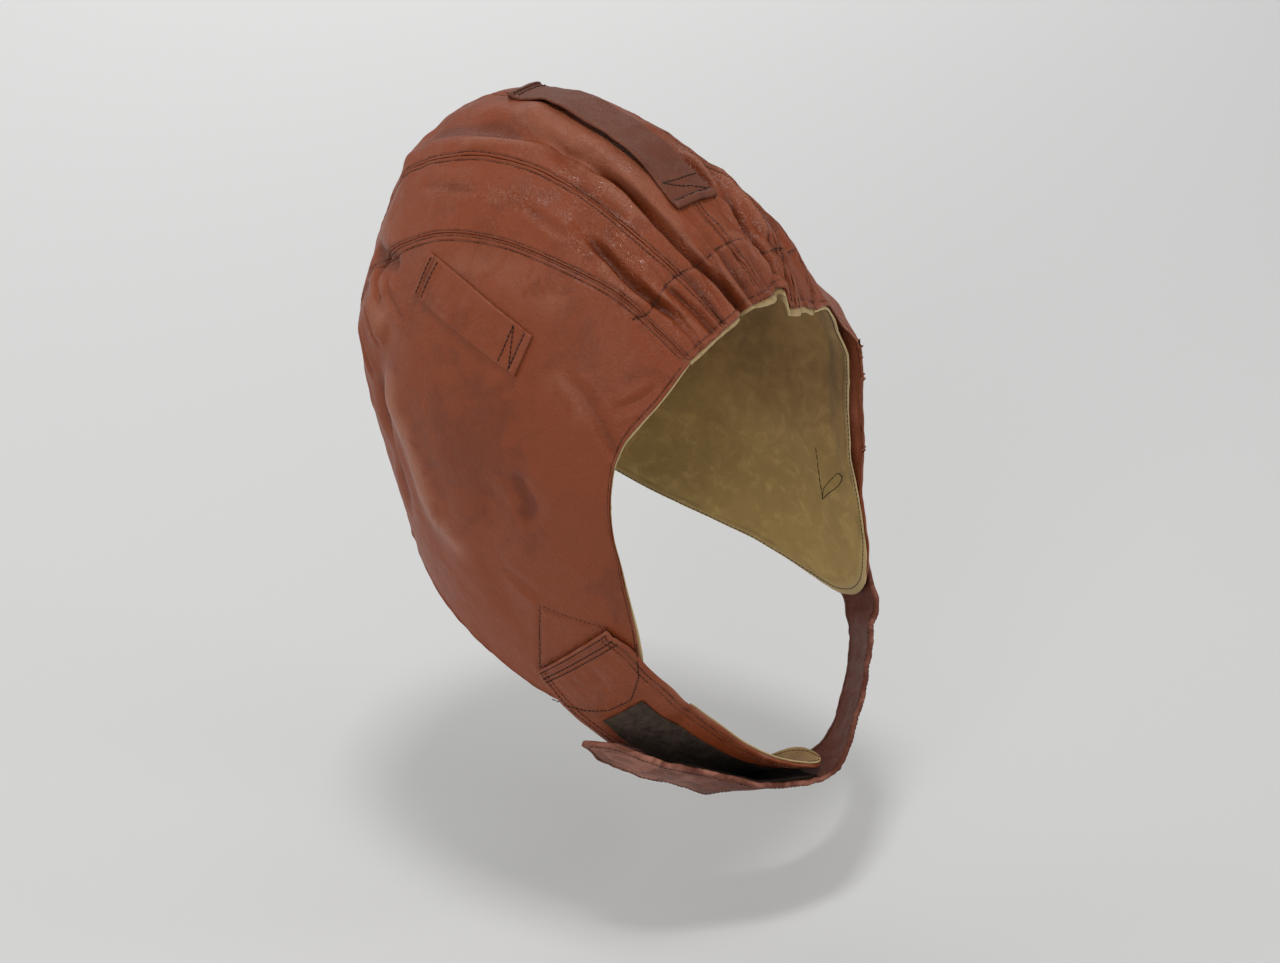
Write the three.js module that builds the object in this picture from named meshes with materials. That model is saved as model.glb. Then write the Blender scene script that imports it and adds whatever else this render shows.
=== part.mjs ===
// A worn flying helmet in brown leather with a chamois lining.
// It is shown as it sits on a head, with its two chin straps closed under the chin.
// Millimetres, +Z up, the face looks along -Y and the wearer's left is +X.
// The origin is the highest point inside the crown, where the helmet rests on a head.
// Every point in the tables is measured from the middle of the head, HEAD_MIDDLE below the origin.
import * as THREE from "three";

// Driving dimensions of the head form, measured at the outer face of the leather
const HALF_WIDTH = 88;
const REACH_FRONT = 113.5;
const REACH_BACK = 111.5;
const CROWN_HEIGHT = 119.5;
const CROWN_ROUNDNESS = 2.05;
const GIRTH_ROUNDNESS = 2.2;
const WIDENING_BEHIND = 0.00077;
const CROWN_LEAN = 0.12;
const GIRTH_TILT = 0.186;
const JAW_TAPER = 0.0007;
const JAW_TAPER_GROWTH = 0.00001;

// Where the crown rests on a head, measured from the middle of the head
const HEAD_MIDDLE = new THREE.Vector3(0, -44, -119.7);

// Thicknesses and the clearance between pieces that lie on one another
const LEATHER = 1.4;
const CHAMOIS = 1;
const CLEARANCE = 0.3;
const LAID_CLEARANCE = 0.6;
const SEAM_GAP = 0.3;
const EDGE_SETBACK = 0.6;
const TAB_LEATHER = 1.5;
const STRAP_LEATHER = 1.6;
const DOUBLE_STRAP = 2.4;
const PATCH = 1.4;

// Shares of the half width at which each strap has its lines of facets, and its patch among them
const RIGHT_LINES = [-1, -0.72, -0.34, 0.04, 0.42, 1];
const RIGHT_PATCH_LINES = RIGHT_LINES.slice(1, 5);
const LEFT_LINES = [-1, -0.76, -0.26, 0.26, 0.76, 1];
const LEFT_PATCH_LINES = LEFT_LINES.slice(1, -1);

// Number of facets: along the seams, then across each kind of panel
const STEPS_ALONG = 25;
const STEPS_CROWN = 5;
const STEPS_SIDE = 3;
const STEPS_FLAP = 8;

// The goggle tabs and the crown loop stand off the leather between their sewn ends
const TAB_RISE = 1;
const LOOP_RISE = 5;
// Share of its rise by which the loop's right edge stands higher, and its left edge lower
const LOOP_LEAN = 0.3;
const SEWN_SHARE = 0.14;

/** Reads rows of numbers as records with the named columns. */
function table(columns, rows) {
  const names = columns.split(" ");
  return rows.map((row) => Object.fromEntries(names.map((name, i) => [name, row[i]])));
}

// Gentle swellings and hollows of the worn form.
// azimuth is measured from the face towards the wearer's left, in degrees like elevation and spread
const SWELLS = table("azimuth elevation spread height", [
  [180, 55, 24, 3.2],
  [-145, 3, 16, 2.6],
  [145, 3, 16, 2.6],
  [-155, 32, 10, -6],
  [158, 30, 12, -3],
  [100, 66, 18, -2.6],
  [-100, 66, 18, -1.5],
  [46, 45, 14, 1.8],
  [-46, 45, 14, 1.8],
  [-98, -22, 12, 2],
  [98, -22, 12, 2],
]);

// Seam lines of the right half, front edge first and nape last
const CENTRE_SEAM = table("x y z", [
  [0, -80, 62], [0, -71, 73], [0, -60, 83], [0, -42, 97], [0, -10, 112], [0, 25, 121],
  [0, 57, 120], [0, 86, 101], [0, 105, 70], [0, 112, 30], [0, 112, -10], [0, 106, -45], [0, 99, -73],
]);
const UPPER_SEAM = table("x y z", [
  [-25, -79, 58], [-30, -58, 78], [-34, -36, 92], [-35, -12, 103], [-37, 12, 109], [-41, 35, 110],
  [-45, 58, 104], [-43, 84, 84], [-37, 100, 55], [-30, 108, 20], [-25, 108, -15], [-21, 104, -45],
  [-19, 98, -73],
]);
const LOWER_SEAM = table("x y z", [
  [-44, -75, 49], [-48, -60, 61], [-52, -44, 73], [-58, -17, 82], [-62, 11, 86], [-67, 40, 83],
  [-69, 62, 72], [-64, 81, 56], [-57, 94, 30], [-50, 99, 0], [-45, 98, -30], [-41, 95, -55],
  [-38, 92, -73],
]);
// The free edge of the ear flap: down the face, round the tip and back to the nape
const FLAP_EDGE = table("x y z", [
  [-44, -75, 49], [-58, -70, 34], [-70, -61, 17], [-74, -58, 4], [-74, -57, -21], [-70, -60, -46],
  [-63, -63, -80], [-60, -62, -98], [-59, -57, -112], [-61, -46, -121], [-63, -34, -124],
  [-66, -19, -123], [-70, 10, -112], [-69, 34, -101], [-64, 56, -88], [-60, 68, -80],
  [-50, 82, -75], [-38, 92, -73],
]);

// The main creases: depth is positive into the head, reach is the half width
const CREASES = [
  { depth: 3.6, reach: 6, path: table("x y z", [
    [-23, 8, 114], [-21, -12, 109], [-20, -29, 101], [-19, -47, 91], [-18, -59, 82], [-13, -80, 61],
  ]) },
  { depth: 2.4, reach: 5.5, path: table("x y z", [
    [-44, -20, 94], [-45, -38, 83], [-43, -56, 72], [-38, -67, 64],
  ]) },
  { depth: 3, reach: 9, path: table("x y z", [
    [-20, 85, 104], [-24, 60, 117], [-27, 34, 117], [-22, 12, 115],
  ]) },
  { depth: -2, reach: 6, path: table("x y z", [
    [-38, 80, 94], [-35, 34, 113], [-30, 10, 112],
  ]) },
  { depth: 3, reach: 6, path: table("x y z", [
    [24, -2, 112], [22, -30, 101], [18, -58, 83], [12, -80, 62],
  ]) },
  { depth: 2.2, reach: 6, path: table("x y z", [
    [44, -16, 94], [45, -40, 82], [40, -66, 65],
  ]) },
  { depth: -5, reach: 9, path: table("x y z", [
    [78, -38, 22], [80, -36, -5], [79, -38, -30], [74, -42, -50],
  ]) },
  { depth: 2, reach: 7, path: table("x y z", [
    [-80, 66, 24], [-78, 66, 0], [-72, 70, -28],
  ]) },
  { depth: 2, reach: 8, path: table("x y z", [
    [-83, -4, -20], [-80, 4, -48], [-76, -4, -70],
  ]) },
];

// How far the left flap hangs away from the jaw, by height
const FLARE = table("z away", [
  [52, 0], [32, 4], [5, 13], [-45, 17], [-85, 28], [-125, 40],
]);
const FLARE_WAY = new THREE.Vector3(0.82, -0.57, -0.06);
const FLARE_FULL_FROM = -20;
const FLARE_NONE_AT = 80;

// Corners of the tabs, as they lie on the leather
const GOGGLE_TAB = {
  backTop: [-71, 40, 75], backLow: [-79, 45, 58], frontTop: [-74.5, -17, 55], frontLow: [-81.5, -13, 38],
};
const CROWN_LOOP = {
  backTop: [-7, 53, 121], backLow: [13, 54, 121], frontTop: [-11, -42, 97], frontLow: [14, -43, 95],
};

// The chin straps from their sewn ends to their tips.
// a is the front edge and b the back edge, held is 1 where the strap lies on its flap,
// and curl lifts both edges towards the neck.
const RIGHT_STRAP = table("ax ay az bx by bz held curl", [
  [-69, -51, -73, -71, -14, -107, 1, 0],
  [-62, -59, -81, -70, -19, -117, 1, 0],
  [-57, -65.5, -92, -67, -27, -127, 0.85, 0],
  [-51, -73.5, -104.5, -60, -38, -137, 0.3, 0.5],
  [-38, -76, -121, -46, -50, -151.5, 0, 1],
  [-27, -81, -134, -29, -57, -166, 0, 1],
  [-18, -88, -146, -10, -67, -173.5, 0, 1.5],
  [-7, -96, -157, 8, -77, -173.5, 0, 2.5],
  [1, -102, -162, 21, -84, -172, 0, 3.5],
  [13, -107, -166, 32, -92, -172, 0, 3.5],
]);
const LEFT_STRAP = table("ax ay az bx by bz held curl", [
  [89, -64, -75, 97, -31, -109, 1, 0],
  [85.5, -69, -93.5, 98, -44, -122, 0.9, 0],
  [82, -77.5, -114, 96, -60, -132, 0.4, 0],
  [75, -91, -126, 92, -68, -144, 0, 0.5],
  [66, -97, -136, 83, -74, -153, 0, 1],
  [53, -103, -146, 71, -80, -162, 0, 1],
  [42, -107, -155, 60, -84, -172, 0, 1.5],
  [33, -110, -163, 49, -85, -178, 0, 2],
  [24, -111, -169, 36, -84, -179, 0, 2],
  [10, -109, -170, 20, -81, -179, 0, 1.5],
  [-6, -104, -166, 4, -77, -178, 0, 1.5],
  [-20, -98, -161.5, -8, -74, -178, 0, 1],
  [-36, -87, -152, -24, -69, -174.5, 0, 1],
  [-46, -79, -147, -35, -62, -167.5, 0, 1],
  [-57, -70, -141, -48, -54, -160, 0, 0.5],
  [-67, -58, -133, -61, -43, -150, 0, 0],
  [-75, -44, -127, -71, -35, -142, 0, 0],
]);

const COLOURS = { leather: 0x7c4330, chamois: 0xa88f56, fabric: 0x2e2723, strap: 0x6b3f38 };

/** Fades smoothly from 0 at `from` to 1 at `to`. */
function fade(value, from, to) {
  const t = THREE.MathUtils.clamp((value - from) / (to - from), 0, 1);
  return t * t * (3 - 2 * t);
}

/** Negative inside the plain head form and positive outside it. */
function headForm(p) {
  const y = p.y - CROWN_LEAN * Math.max(p.z, 0);
  const reach = y < 0 ? REACH_FRONT : REACH_BACK;
  const width = HALF_WIDTH * (1 + WIDENING_BEHIND * y);
  const across = Math.abs(p.x / width) ** GIRTH_ROUNDNESS + Math.abs(y / reach) ** GIRTH_ROUNDNESS;
  const girth = across ** (1 / GIRTH_ROUNDNESS);
  const height = p.z - GIRTH_TILT * y;
  if (height > 0) {
    const crown = girth ** CROWN_ROUNDNESS + (height / CROWN_HEIGHT) ** CROWN_ROUNDNESS;
    return crown ** (1 / CROWN_ROUNDNESS) - 1;
  }
  return girth / (1 + JAW_TAPER * height - JAW_TAPER_GROWTH * height * height) - 1;
}

/** Distance from the middle of the head to the plain form, by halving. */
function formRadius(way) {
  const probe = new THREE.Vector3();
  let inner = 30;
  let outer = 420;
  for (let i = 0; i < 36; i += 1) {
    const middle = (inner + outer) / 2;
    if (headForm(probe.copy(way).multiplyScalar(middle)) > 0) {
      outer = middle;
    } else {
      inner = middle;
    }
  }
  return (inner + outer) / 2;
}

/** A unit direction from an azimuth and an elevation in degrees. */
function bearing(azimuth, elevation) {
  const a = THREE.MathUtils.degToRad(azimuth);
  const e = THREE.MathUtils.degToRad(elevation);
  return new THREE.Vector3(Math.sin(a) * Math.cos(e), -Math.cos(a) * Math.cos(e), Math.sin(e));
}

/** Height of the swellings at a direction. */
function swell(way) {
  return SWELLS.reduce((sum, { azimuth, elevation, spread, height }) => {
    const turn = THREE.MathUtils.degToRad(spread);
    return sum + height * Math.exp((way.dot(bearing(azimuth, elevation)) - 1) / (turn * turn));
  }, 0);
}

const vectors = (rows) => rows.map(({ x, y, z }) => new THREE.Vector3(x, y, z));
const creaseWays = CREASES.map(({ path }) => vectors(path).map((p) => p.normalize()));

/** Depth of the creases at a direction: each fades with the distance from its line. */
function creased(way, radius) {
  return CREASES.reduce((sum, { depth, reach }, k) => {
    const line = creaseWays[k];
    let nearest = Infinity;
    for (let i = 0; i + 1 < line.length; i += 1) {
      const run = line[i + 1].clone().sub(line[i]);
      const t = THREE.MathUtils.clamp(way.clone().sub(line[i]).dot(run) / run.lengthSq(), 0, 1);
      nearest = Math.min(nearest, line[i].clone().addScaledVector(run, t).distanceTo(way));
    }
    const off = (nearest * radius) / reach;
    return sum + depth * Math.exp(-off * off);
  }, 0);
}

/** Linear reading of the flare table. */
function flareAt(z) {
  if (z >= FLARE[0].z) {
    return 0;
  }
  const k = FLARE.findIndex((row) => z > row.z);
  if (k < 0) {
    return FLARE[FLARE.length - 1].away;
  }
  const [above, below] = [FLARE[k - 1], FLARE[k]];
  return THREE.MathUtils.mapLinear(z, above.z, below.z, above.away, below.away);
}

/** How far and which way a point of the left flap hangs away. */
function flare(point) {
  const share = fade(point.x, 20, 50) * (1 - fade(point.y, FLARE_FULL_FROM, FLARE_NONE_AT));
  return FLARE_WAY.clone().multiplyScalar(flareAt(point.z) * share);
}

/** A point on the outer face of the leather, in a direction from the middle of the head. */
function skin(way) {
  const radius = formRadius(way) + swell(way);
  const point = way.clone().multiplyScalar(radius - creased(way, radius));
  return point.add(flare(point));
}

/** The direction that leads to a point beside the leather, with the flare taken back. */
function wayTo(point) {
  const plain = point.clone();
  for (let i = 0; i < 8; i += 1) {
    plain.copy(point).sub(flare(plain));
  }
  return plain.normalize();
}

/** The outward normal of the leather, from two small steps on the face. */
function skinNormal(way) {
  const aside = new THREE.Vector3(0, 0, 1).cross(way);
  if (aside.lengthSq() < 1e-6) {
    aside.set(1, 0, 0);
  }
  aside.normalize();
  const upward = way.clone().cross(aside);
  const step = 0.02;
  const at = (axis, size) => skin(way.clone().addScaledVector(axis, size).normalize());
  const acrossStep = at(aside, step).sub(at(aside, -step));
  const upStep = at(upward, step).sub(at(upward, -step));
  return acrossStep.cross(upStep).normalize();
}

/** A seam line as a function from its share along to a direction; side -1 is the right half. */
function seamLine(rows, side) {
  const points = vectors(rows).map((p) => p.setX(-side * p.x));
  const curve = new THREE.CatmullRomCurve3(points, false, "centripetal");
  return (share) => curve.getPointAt(THREE.MathUtils.clamp(share, 0, 1)).normalize();
}

/** The direction a share of the way from one direction to another, along their great circle. */
function between(from, to, share) {
  const angle = from.angleTo(to);
  if (angle < 1e-6) {
    return from.clone();
  }
  const a = Math.sin((1 - share) * angle) / Math.sin(angle);
  const b = Math.sin(share * angle) / Math.sin(angle);
  return from.clone().multiplyScalar(a).addScaledVector(to, b);
}

/** One closed body from a grid of points on its outer face and the same grid on its inner face. */
function closedBody(outer, inner, leansForward) {
  const places = new Map();
  const points = [];
  const number = (p) => {
    const key = [p.x, p.y, p.z].map((c) => c.toFixed(3)).join(" ");
    if (!places.has(key)) {
      places.set(key, places.size);
      points.push(p.x, p.y, p.z);
    }
    return places.get(key);
  };
  const top = outer.map((line) => line.map(number));
  const under = inner.map((line) => line.map(number));
  const faces = [];
  const triangle = (a, b, c) => {
    if (a !== b && b !== c && c !== a) {
      faces.push(a, b, c);
    }
  };
  const quad = (a, b, c, d, forward) => {
    if (forward) {
      triangle(a, b, c);
      triangle(a, c, d);
    } else {
      triangle(a, b, d);
      triangle(b, c, d);
    }
  };
  const last = top.length - 1;
  const end = top[0].length - 1;
  for (let i = 0; i < last; i += 1) {
    for (let j = 0; j < end; j += 1) {
      const forward = leansForward(i, j);
      quad(top[i][j], top[i + 1][j], top[i + 1][j + 1], top[i][j + 1], forward);
      quad(under[i][j], under[i][j + 1], under[i + 1][j + 1], under[i + 1][j], forward);
    }
    quad(top[i][0], under[i][0], under[i + 1][0], top[i + 1][0], true);
    quad(top[i][end], top[i + 1][end], under[i + 1][end], under[i][end], true);
  }
  for (let j = 0; j < end; j += 1) {
    quad(top[0][j], top[0][j + 1], under[0][j + 1], under[0][j], true);
    quad(top[last][j], under[last][j], under[last][j + 1], top[last][j + 1], true);
  }
  const geometry = new THREE.BufferGeometry();
  geometry.setAttribute("position", new THREE.Float32BufferAttribute(points, 3));
  geometry.setIndex(faces);
  return turnedOutward(geometry);
}

/** The signed volume of a closed triangle mesh. */
function signedVolume(geometry) {
  const { position } = geometry.attributes;
  const corner = [0, 1, 2].map(() => new THREE.Vector3());
  const { array } = geometry.index;
  let volume = 0;
  for (let i = 0; i < array.length; i += 3) {
    corner.forEach((p, k) => p.fromBufferAttribute(position, array[i + k]));
    volume += corner[0].dot(corner[1].clone().cross(corner[2])) / 6;
  }
  return volume;
}

/** The same body with its faces pointing outward, moved so that the crown's rest is the origin. */
function turnedOutward(geometry) {
  if (signedVolume(geometry) < 0) {
    const { array } = geometry.index;
    for (let i = 0; i < array.length; i += 3) {
      [array[i + 1], array[i + 2]] = [array[i + 2], array[i + 1]];
    }
  }
  geometry.translate(HEAD_MIDDLE.x, HEAD_MIDDLE.y, HEAD_MIDDLE.z);
  geometry.computeVertexNormals();
  return geometry;
}

/** A grid of values over whole steps along and across. */
function grid(steps, across, value) {
  return Array.from({ length: steps + 1 }, (_, i) => Array.from({ length: across + 1 }, (_, j) => value(i, j)));
}

/** The six strips of the helmet from the right flap over the crown to the left flap. */
function strips() {
  const line = (rows) => [seamLine(rows, -1), seamLine(rows, 1)];
  const [edgeRight, edgeLeft] = line(FLAP_EDGE);
  const [lowRight, lowLeft] = line(LOWER_SEAM);
  const [highRight, highLeft] = line(UPPER_SEAM);
  const [middle] = line(CENTRE_SEAM);
  return [
    { name: "ear_flap_right", from: edgeRight, to: lowRight, steps: STEPS_FLAP, free: [true, false] },
    { name: "side_panel_right", from: lowRight, to: highRight, steps: STEPS_SIDE, free: [false, false] },
    { name: "crown_panel_right", from: highRight, to: middle, steps: STEPS_CROWN, free: [false, false] },
    { name: "crown_panel_left", from: middle, to: highLeft, steps: STEPS_CROWN, free: [false, false] },
    { name: "side_panel_left", from: highLeft, to: lowLeft, steps: STEPS_SIDE, free: [false, false] },
    { name: "ear_flap_left", from: lowLeft, to: edgeLeft, steps: STEPS_FLAP, free: [false, true] },
  ];
}

/** True where the diagonal from a cell's first corner to its far corner is the shorter one. */
function diagonals(strip) {
  const at = grid(STEPS_ALONG, strip.steps, (i, j) => {
    const share = i / STEPS_ALONG;
    return skin(between(strip.from(share), strip.to(share), j / strip.steps));
  });
  return grid(STEPS_ALONG - 1, strip.steps - 1, (i, j) => (
    at[i][j].distanceTo(at[i + 1][j + 1]) < at[i + 1][j].distanceTo(at[i][j + 1])
  ));
}

/** The outer and inner points of a layer between two depths below the outer face. */
function layer(ways, upper, lower) {
  const faces = ways.map((line) => line.map((way) => ({ point: skin(way), normal: skinNormal(way) })));
  const sunk = (depth) => faces.map((line) => line.map(({ point, normal }) => (
    point.clone().addScaledVector(normal, -depth)
  )));
  return [sunk(upper), sunk(lower)];
}

/** Leather panel of one strip, held back from its seams and from the free edges. */
function panel(strip) {
  const lean = diagonals(strip);
  const ways = grid(STEPS_ALONG, strip.steps, (i, j) => {
    const end = EDGE_SETBACK / 330;
    const share = THREE.MathUtils.clamp(i / STEPS_ALONG, end, 1 - end);
    const from = strip.from(share);
    const to = strip.to(share);
    const width = from.angleTo(to) * 100;
    const [first, last] = strip.free.map((free) => Math.min(free ? EDGE_SETBACK : SEAM_GAP / 2, width / 4));
    const low = width > 0 ? first / width : 0;
    const high = width > 0 ? 1 - last / width : 1;
    return between(from, to, THREE.MathUtils.clamp(j / strip.steps, low, high));
  });
  const [outer, inner] = layer(ways, 0, LEATHER);
  return closedBody(outer, inner, (i, j) => lean[i][j]);
}

/** The whole lining in one piece under all the panels. */
function lining() {
  const all = strips();
  const leans = all.map(diagonals);
  const ways = grid(STEPS_ALONG, 0, () => null).map((_, i) => {
    const share = i / STEPS_ALONG;
    return all.flatMap(({ from, to, steps }, k) => {
      const count = k === all.length - 1 ? steps + 1 : steps;
      return Array.from({ length: count }, (_, j) => between(from(share), to(share), j / steps));
    });
  });
  const [outer, inner] = layer(ways, LEATHER + CLEARANCE, LEATHER + CLEARANCE + CHAMOIS);
  const lean = leans[0].map((_, i) => leans.flatMap((rows) => rows[i]));
  return closedBody(outer, inner, (i, j) => lean[i][j]);
}

/** Strip of leather sewn down at both ends and standing off between them. */
function tab(corners, side, { rise, lean }, along, across) {
  const [a, b, c, d] = [corners.backTop, corners.backLow, corners.frontTop, corners.frontLow]
    .map(([x, y, z]) => new THREE.Vector3(-side * x, y, z));
  const faces = grid(along, across, (i, j) => {
    const back = a.clone().lerp(b, j / across);
    const front = c.clone().lerp(d, j / across);
    const way = back.lerp(front, i / along).normalize();
    const tilt = 1 + lean * (1 - (2 * j) / across);
    return { point: skin(way), normal: skinNormal(way), share: i / along, tilt };
  });
  const lifted = (thickness) => faces.map((line) => line.map(({ point, normal, share, tilt }) => {
    const end = Math.min(share, 1 - share);
    const stand = rise * tilt * fade(end, SEWN_SHARE, 2.4 * SEWN_SHARE);
    return point.clone().addScaledVector(normal, LAID_CLEARANCE + stand + thickness);
  }));
  return closedBody(lifted(TAB_LEATHER), lifted(0), () => true);
}

/** A smooth reading of a strap table at a share of its stations. */
function strapReader(rows) {
  const edge = (key) => new THREE.CatmullRomCurve3(
    rows.map((row) => new THREE.Vector3(row[`${key}x`], row[`${key}y`], row[`${key}z`])),
    false,
    "centripetal",
  );
  const [front, back] = [edge("a"), edge("b")];
  const read = (name, share) => {
    const place = share * (rows.length - 1);
    const k = Math.min(Math.floor(place), rows.length - 2);
    return THREE.MathUtils.lerp(rows[k][name], rows[k + 1][name], place - k);
  };
  return (share, across) => {
    const a = front.getPoint(share);
    const b = back.getPoint(share);
    const free = b.clone().lerp(a, (across + 1) / 2);
    return { free, held: read("held", share), curl: read("curl", share) };
  };
}

/** A strap as a surface of two shares, with its outward normal; side says which flap carries it. */
function strapSurface(rows, side, thickness) {
  const read = strapReader(rows);
  const plain = (share, across) => read(share, across).free;
  const normalOf = (place, share, across) => {
    const step = 0.004;
    const s = THREE.MathUtils.clamp(share, step, 1 - step);
    const along = place(s + step, across).sub(place(s - step, across));
    const aside = place(s, across + 0.05).sub(place(s, across - 0.05));
    return along.cross(aside).multiplyScalar(-side).normalize();
  };
  const place = (share, across) => {
    const { free, held, curl } = read(share, across);
    const lifted = free.clone().addScaledVector(normalOf(plain, share, across), -curl * across * across);
    if (held === 0) {
      return lifted;
    }
    const way = wayTo(lifted);
    const up = skinNormal(way);
    const height = lifted.clone().sub(skin(way)).dot(up);
    const least = LAID_CLEARANCE + thickness;
    const wanted = Math.max(least, THREE.MathUtils.lerp(height, least, fade(held, 0, 1)));
    return lifted.addScaledVector(up, (wanted - height) * fade(held, 0, 0.3));
  };
  return { place, normal: (share, across) => normalOf(place, share, across) };
}

/** A layer of a strap between two depths, from one step along it to another, with its tip drawn in. */
function strapLayer({ surface, steps, tip }, { first, last, upper, lower, lines }) {
  const faces = grid(last - first, lines.length - 1, (i, j) => {
    const share = (first + i) / steps;
    const spread = tip(share) * lines[j];
    return { point: surface.place(share, spread), normal: surface.normal(share, spread) };
  });
  const sunk = (depth) => faces.map((line) => line.map(({ point, normal }) => (
    point.clone().addScaledVector(normal, -depth)
  )));
  return closedBody(sunk(upper), sunk(lower), () => true);
}

/** Width share of a tip that rounds off over the last part of its strap. */
const roundTip = (start) => (share) => (
  share < start ? 1 : Math.sqrt(Math.max(0, 1 - ((share - start) / (1 - start)) ** 2))
);
/** Width share of a blunt pointed tip. */
const pointedTip = (start) => (share) => (share < start ? 1 : 1 - 0.86 * ((share - start) / (1 - start)));

/** The right strap is sewn over its flap, and the fabric patch faces out. */
function rightStrap() {
  const strap = { surface: strapSurface(RIGHT_STRAP, -1, STRAP_LEATHER), steps: 24, tip: roundTip(0.9) };
  const deep = STRAP_LEATHER + CLEARANCE;
  return {
    chin_strap_right: [strapLayer(strap, {
      first: 0, last: 24, upper: 0, lower: STRAP_LEATHER, lines: RIGHT_LINES,
    }), COLOURS.leather],
    chin_strap_right_lining: [strapLayer(strap, {
      first: 10, last: 24, upper: deep, lower: deep + CHAMOIS, lines: RIGHT_LINES,
    }), COLOURS.chamois],
    chin_strap_right_patch: [strapLayer(strap, {
      first: 7, last: 22, upper: -CLEARANCE - PATCH, lower: -CLEARANCE, lines: RIGHT_PATCH_LINES,
    }), COLOURS.fabric],
  };
}

/** The left strap passes outside the right one, and its fabric patch faces in. */
function leftStrap() {
  const strap = { surface: strapSurface(LEFT_STRAP, 1, DOUBLE_STRAP), steps: 32, tip: pointedTip(0.95) };
  const deep = DOUBLE_STRAP + CLEARANCE;
  return {
    chin_strap_left: [strapLayer(strap, {
      first: 0, last: 32, upper: 0, lower: DOUBLE_STRAP, lines: LEFT_LINES,
    }), COLOURS.strap],
    chin_strap_left_patch: [strapLayer(strap, {
      first: 18, last: 27, upper: deep, lower: deep + PATCH, lines: LEFT_PATCH_LINES,
    }), COLOURS.fabric],
  };
}

/** Every piece by its name, each with its geometry and colour. */
function pieces() {
  const panels = strips().map((strip) => [strip.name, [panel(strip), COLOURS.leather]]);
  return {
    ...Object.fromEntries(panels),
    lining: [lining(), COLOURS.chamois],
    goggle_tab_right: [tab(GOGGLE_TAB, -1, { rise: TAB_RISE, lean: 0 }, 12, 3), COLOURS.leather],
    goggle_tab_left: [tab(GOGGLE_TAB, 1, { rise: TAB_RISE, lean: 0 }, 12, 3), COLOURS.leather],
    crown_loop: [tab(CROWN_LOOP, -1, { rise: LOOP_RISE, lean: LOOP_LEAN }, 16, 3), COLOURS.leather],
    ...rightStrap(),
    ...leftStrap(),
  };
}

const helmet = new THREE.Group();
helmet.name = "flying_helmet";
for (const [name, [geometry, color]] of Object.entries(pieces())) {
  const material = new THREE.MeshStandardMaterial({ color, roughness: 0.6 });
  material.name = name;
  const mesh = new THREE.Mesh(geometry, material);
  mesh.name = name;
  helmet.add(mesh);
}

export default helmet;
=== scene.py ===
"""A worn leather flying helmet: brown panels over a chamois lining, with its chin strap closed."""

from __future__ import annotations

import logging
from dataclasses import dataclass, field
from enum import Enum
from typing import Any, Callable, Sequence

import bpy
import numpy as np
from mathutils import Matrix, Vector
from numpy.typing import NDArray


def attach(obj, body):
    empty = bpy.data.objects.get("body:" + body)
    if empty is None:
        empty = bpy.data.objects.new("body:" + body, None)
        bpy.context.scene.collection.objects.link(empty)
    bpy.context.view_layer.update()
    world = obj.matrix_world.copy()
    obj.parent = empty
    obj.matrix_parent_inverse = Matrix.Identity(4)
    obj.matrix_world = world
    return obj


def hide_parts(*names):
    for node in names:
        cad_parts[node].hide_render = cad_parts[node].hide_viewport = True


Array = NDArray[np.float64]
LOG = logging.getLogger("flying_helmet")

# Millimetres from the middle of the head to the crown's rest, which is the origin
HEAD_MIDDLE = np.array([0.0, -44.0, -119.7])
# Thickness of the panels' leather, and of the short and the long strap
LEATHER = 1.4
SHORT_STRAP = 1.6
LONG_STRAP = 2.4
# How far a strap lies off its flap, and how far a free edge stays back from its line
LAID = 0.6
RIM_SETBACK = 0.6
# A seam's length from brow to nape, to turn a setback into a share of it
SEAM_LENGTH = 330.0


class Side(Enum):
    """The wearer's two sides, with the sign of x on each."""

    RIGHT = -1
    LEFT = 1


def unit(v: Array) -> Array:
    """Vectors brought to length 1.

    Args:
        v: Vectors in the last axis.

    Returns:
        The same vectors divided by their lengths.
    """
    return v / np.maximum(np.linalg.norm(v, axis=-1, keepdims=True), 1e-12)


def fade(value: Array | float, start: float, end: float) -> Array:
    """A smooth step, t squared times 3 - 2t.

    Args:
        value: What is faded.
        start: Where the result is 0.
        end: Where the result is 1.

    Returns:
        Shares from 0 to 1.
    """
    t = np.clip((np.asarray(value, float) - start) / (end - start), 0, 1)
    return t * t * (3 - 2 * t)


def bell(value: Array, middle: float, reach: float) -> Array:
    """A bell curve, 1 at the middle and 1/e at the reach."""
    return np.exp(-(((value - middle) / reach) ** 2))


def noise(points: Array, scale: float | Sequence[float], seed: int = 0) -> Array:
    """Smooth lattice noise: each cube corner holds a fixed slope, and the slopes are blended.

    Args:
        points: Places in millimetres, three numbers in the last axis.
        scale: Size of a lattice cell, one number or three.
        seed: Which of the many patterns.

    Returns:
        One number for each place, mostly between -1 and 1.
    """
    q = points / np.asarray(scale, float)
    cell = np.floor(q).astype(np.int64)
    f = q - cell
    ease = f * f * f * (f * (f * 6 - 15) + 10)
    total = np.zeros(q.shape[:-1])
    for corner in np.ndindex(2, 2, 2):
        c = np.array(corner)
        k = cell + c
        h = (k[..., 0] * 73856093) ^ (k[..., 1] * 19349663) ^ (k[..., 2] * 83492791) ^ (seed * 2654435761)
        h = (h ^ (h >> 13)) * 1274126177
        h = h ^ (h >> 16)
        slope = np.stack([(h >> s & 1023) / 511.5 - 1 for s in (0, 10, 20)], -1)
        weight = np.prod(np.where(c == 1, ease, 1 - ease), -1)
        total += weight * (slope * (f - c)).sum(-1)
    return 1.6 * total


def rows(text: str) -> Array:
    """A table of numbers from its lines, one row a line."""
    return np.array([[float(n) for n in line.split()] for line in text.strip().splitlines()])


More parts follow.
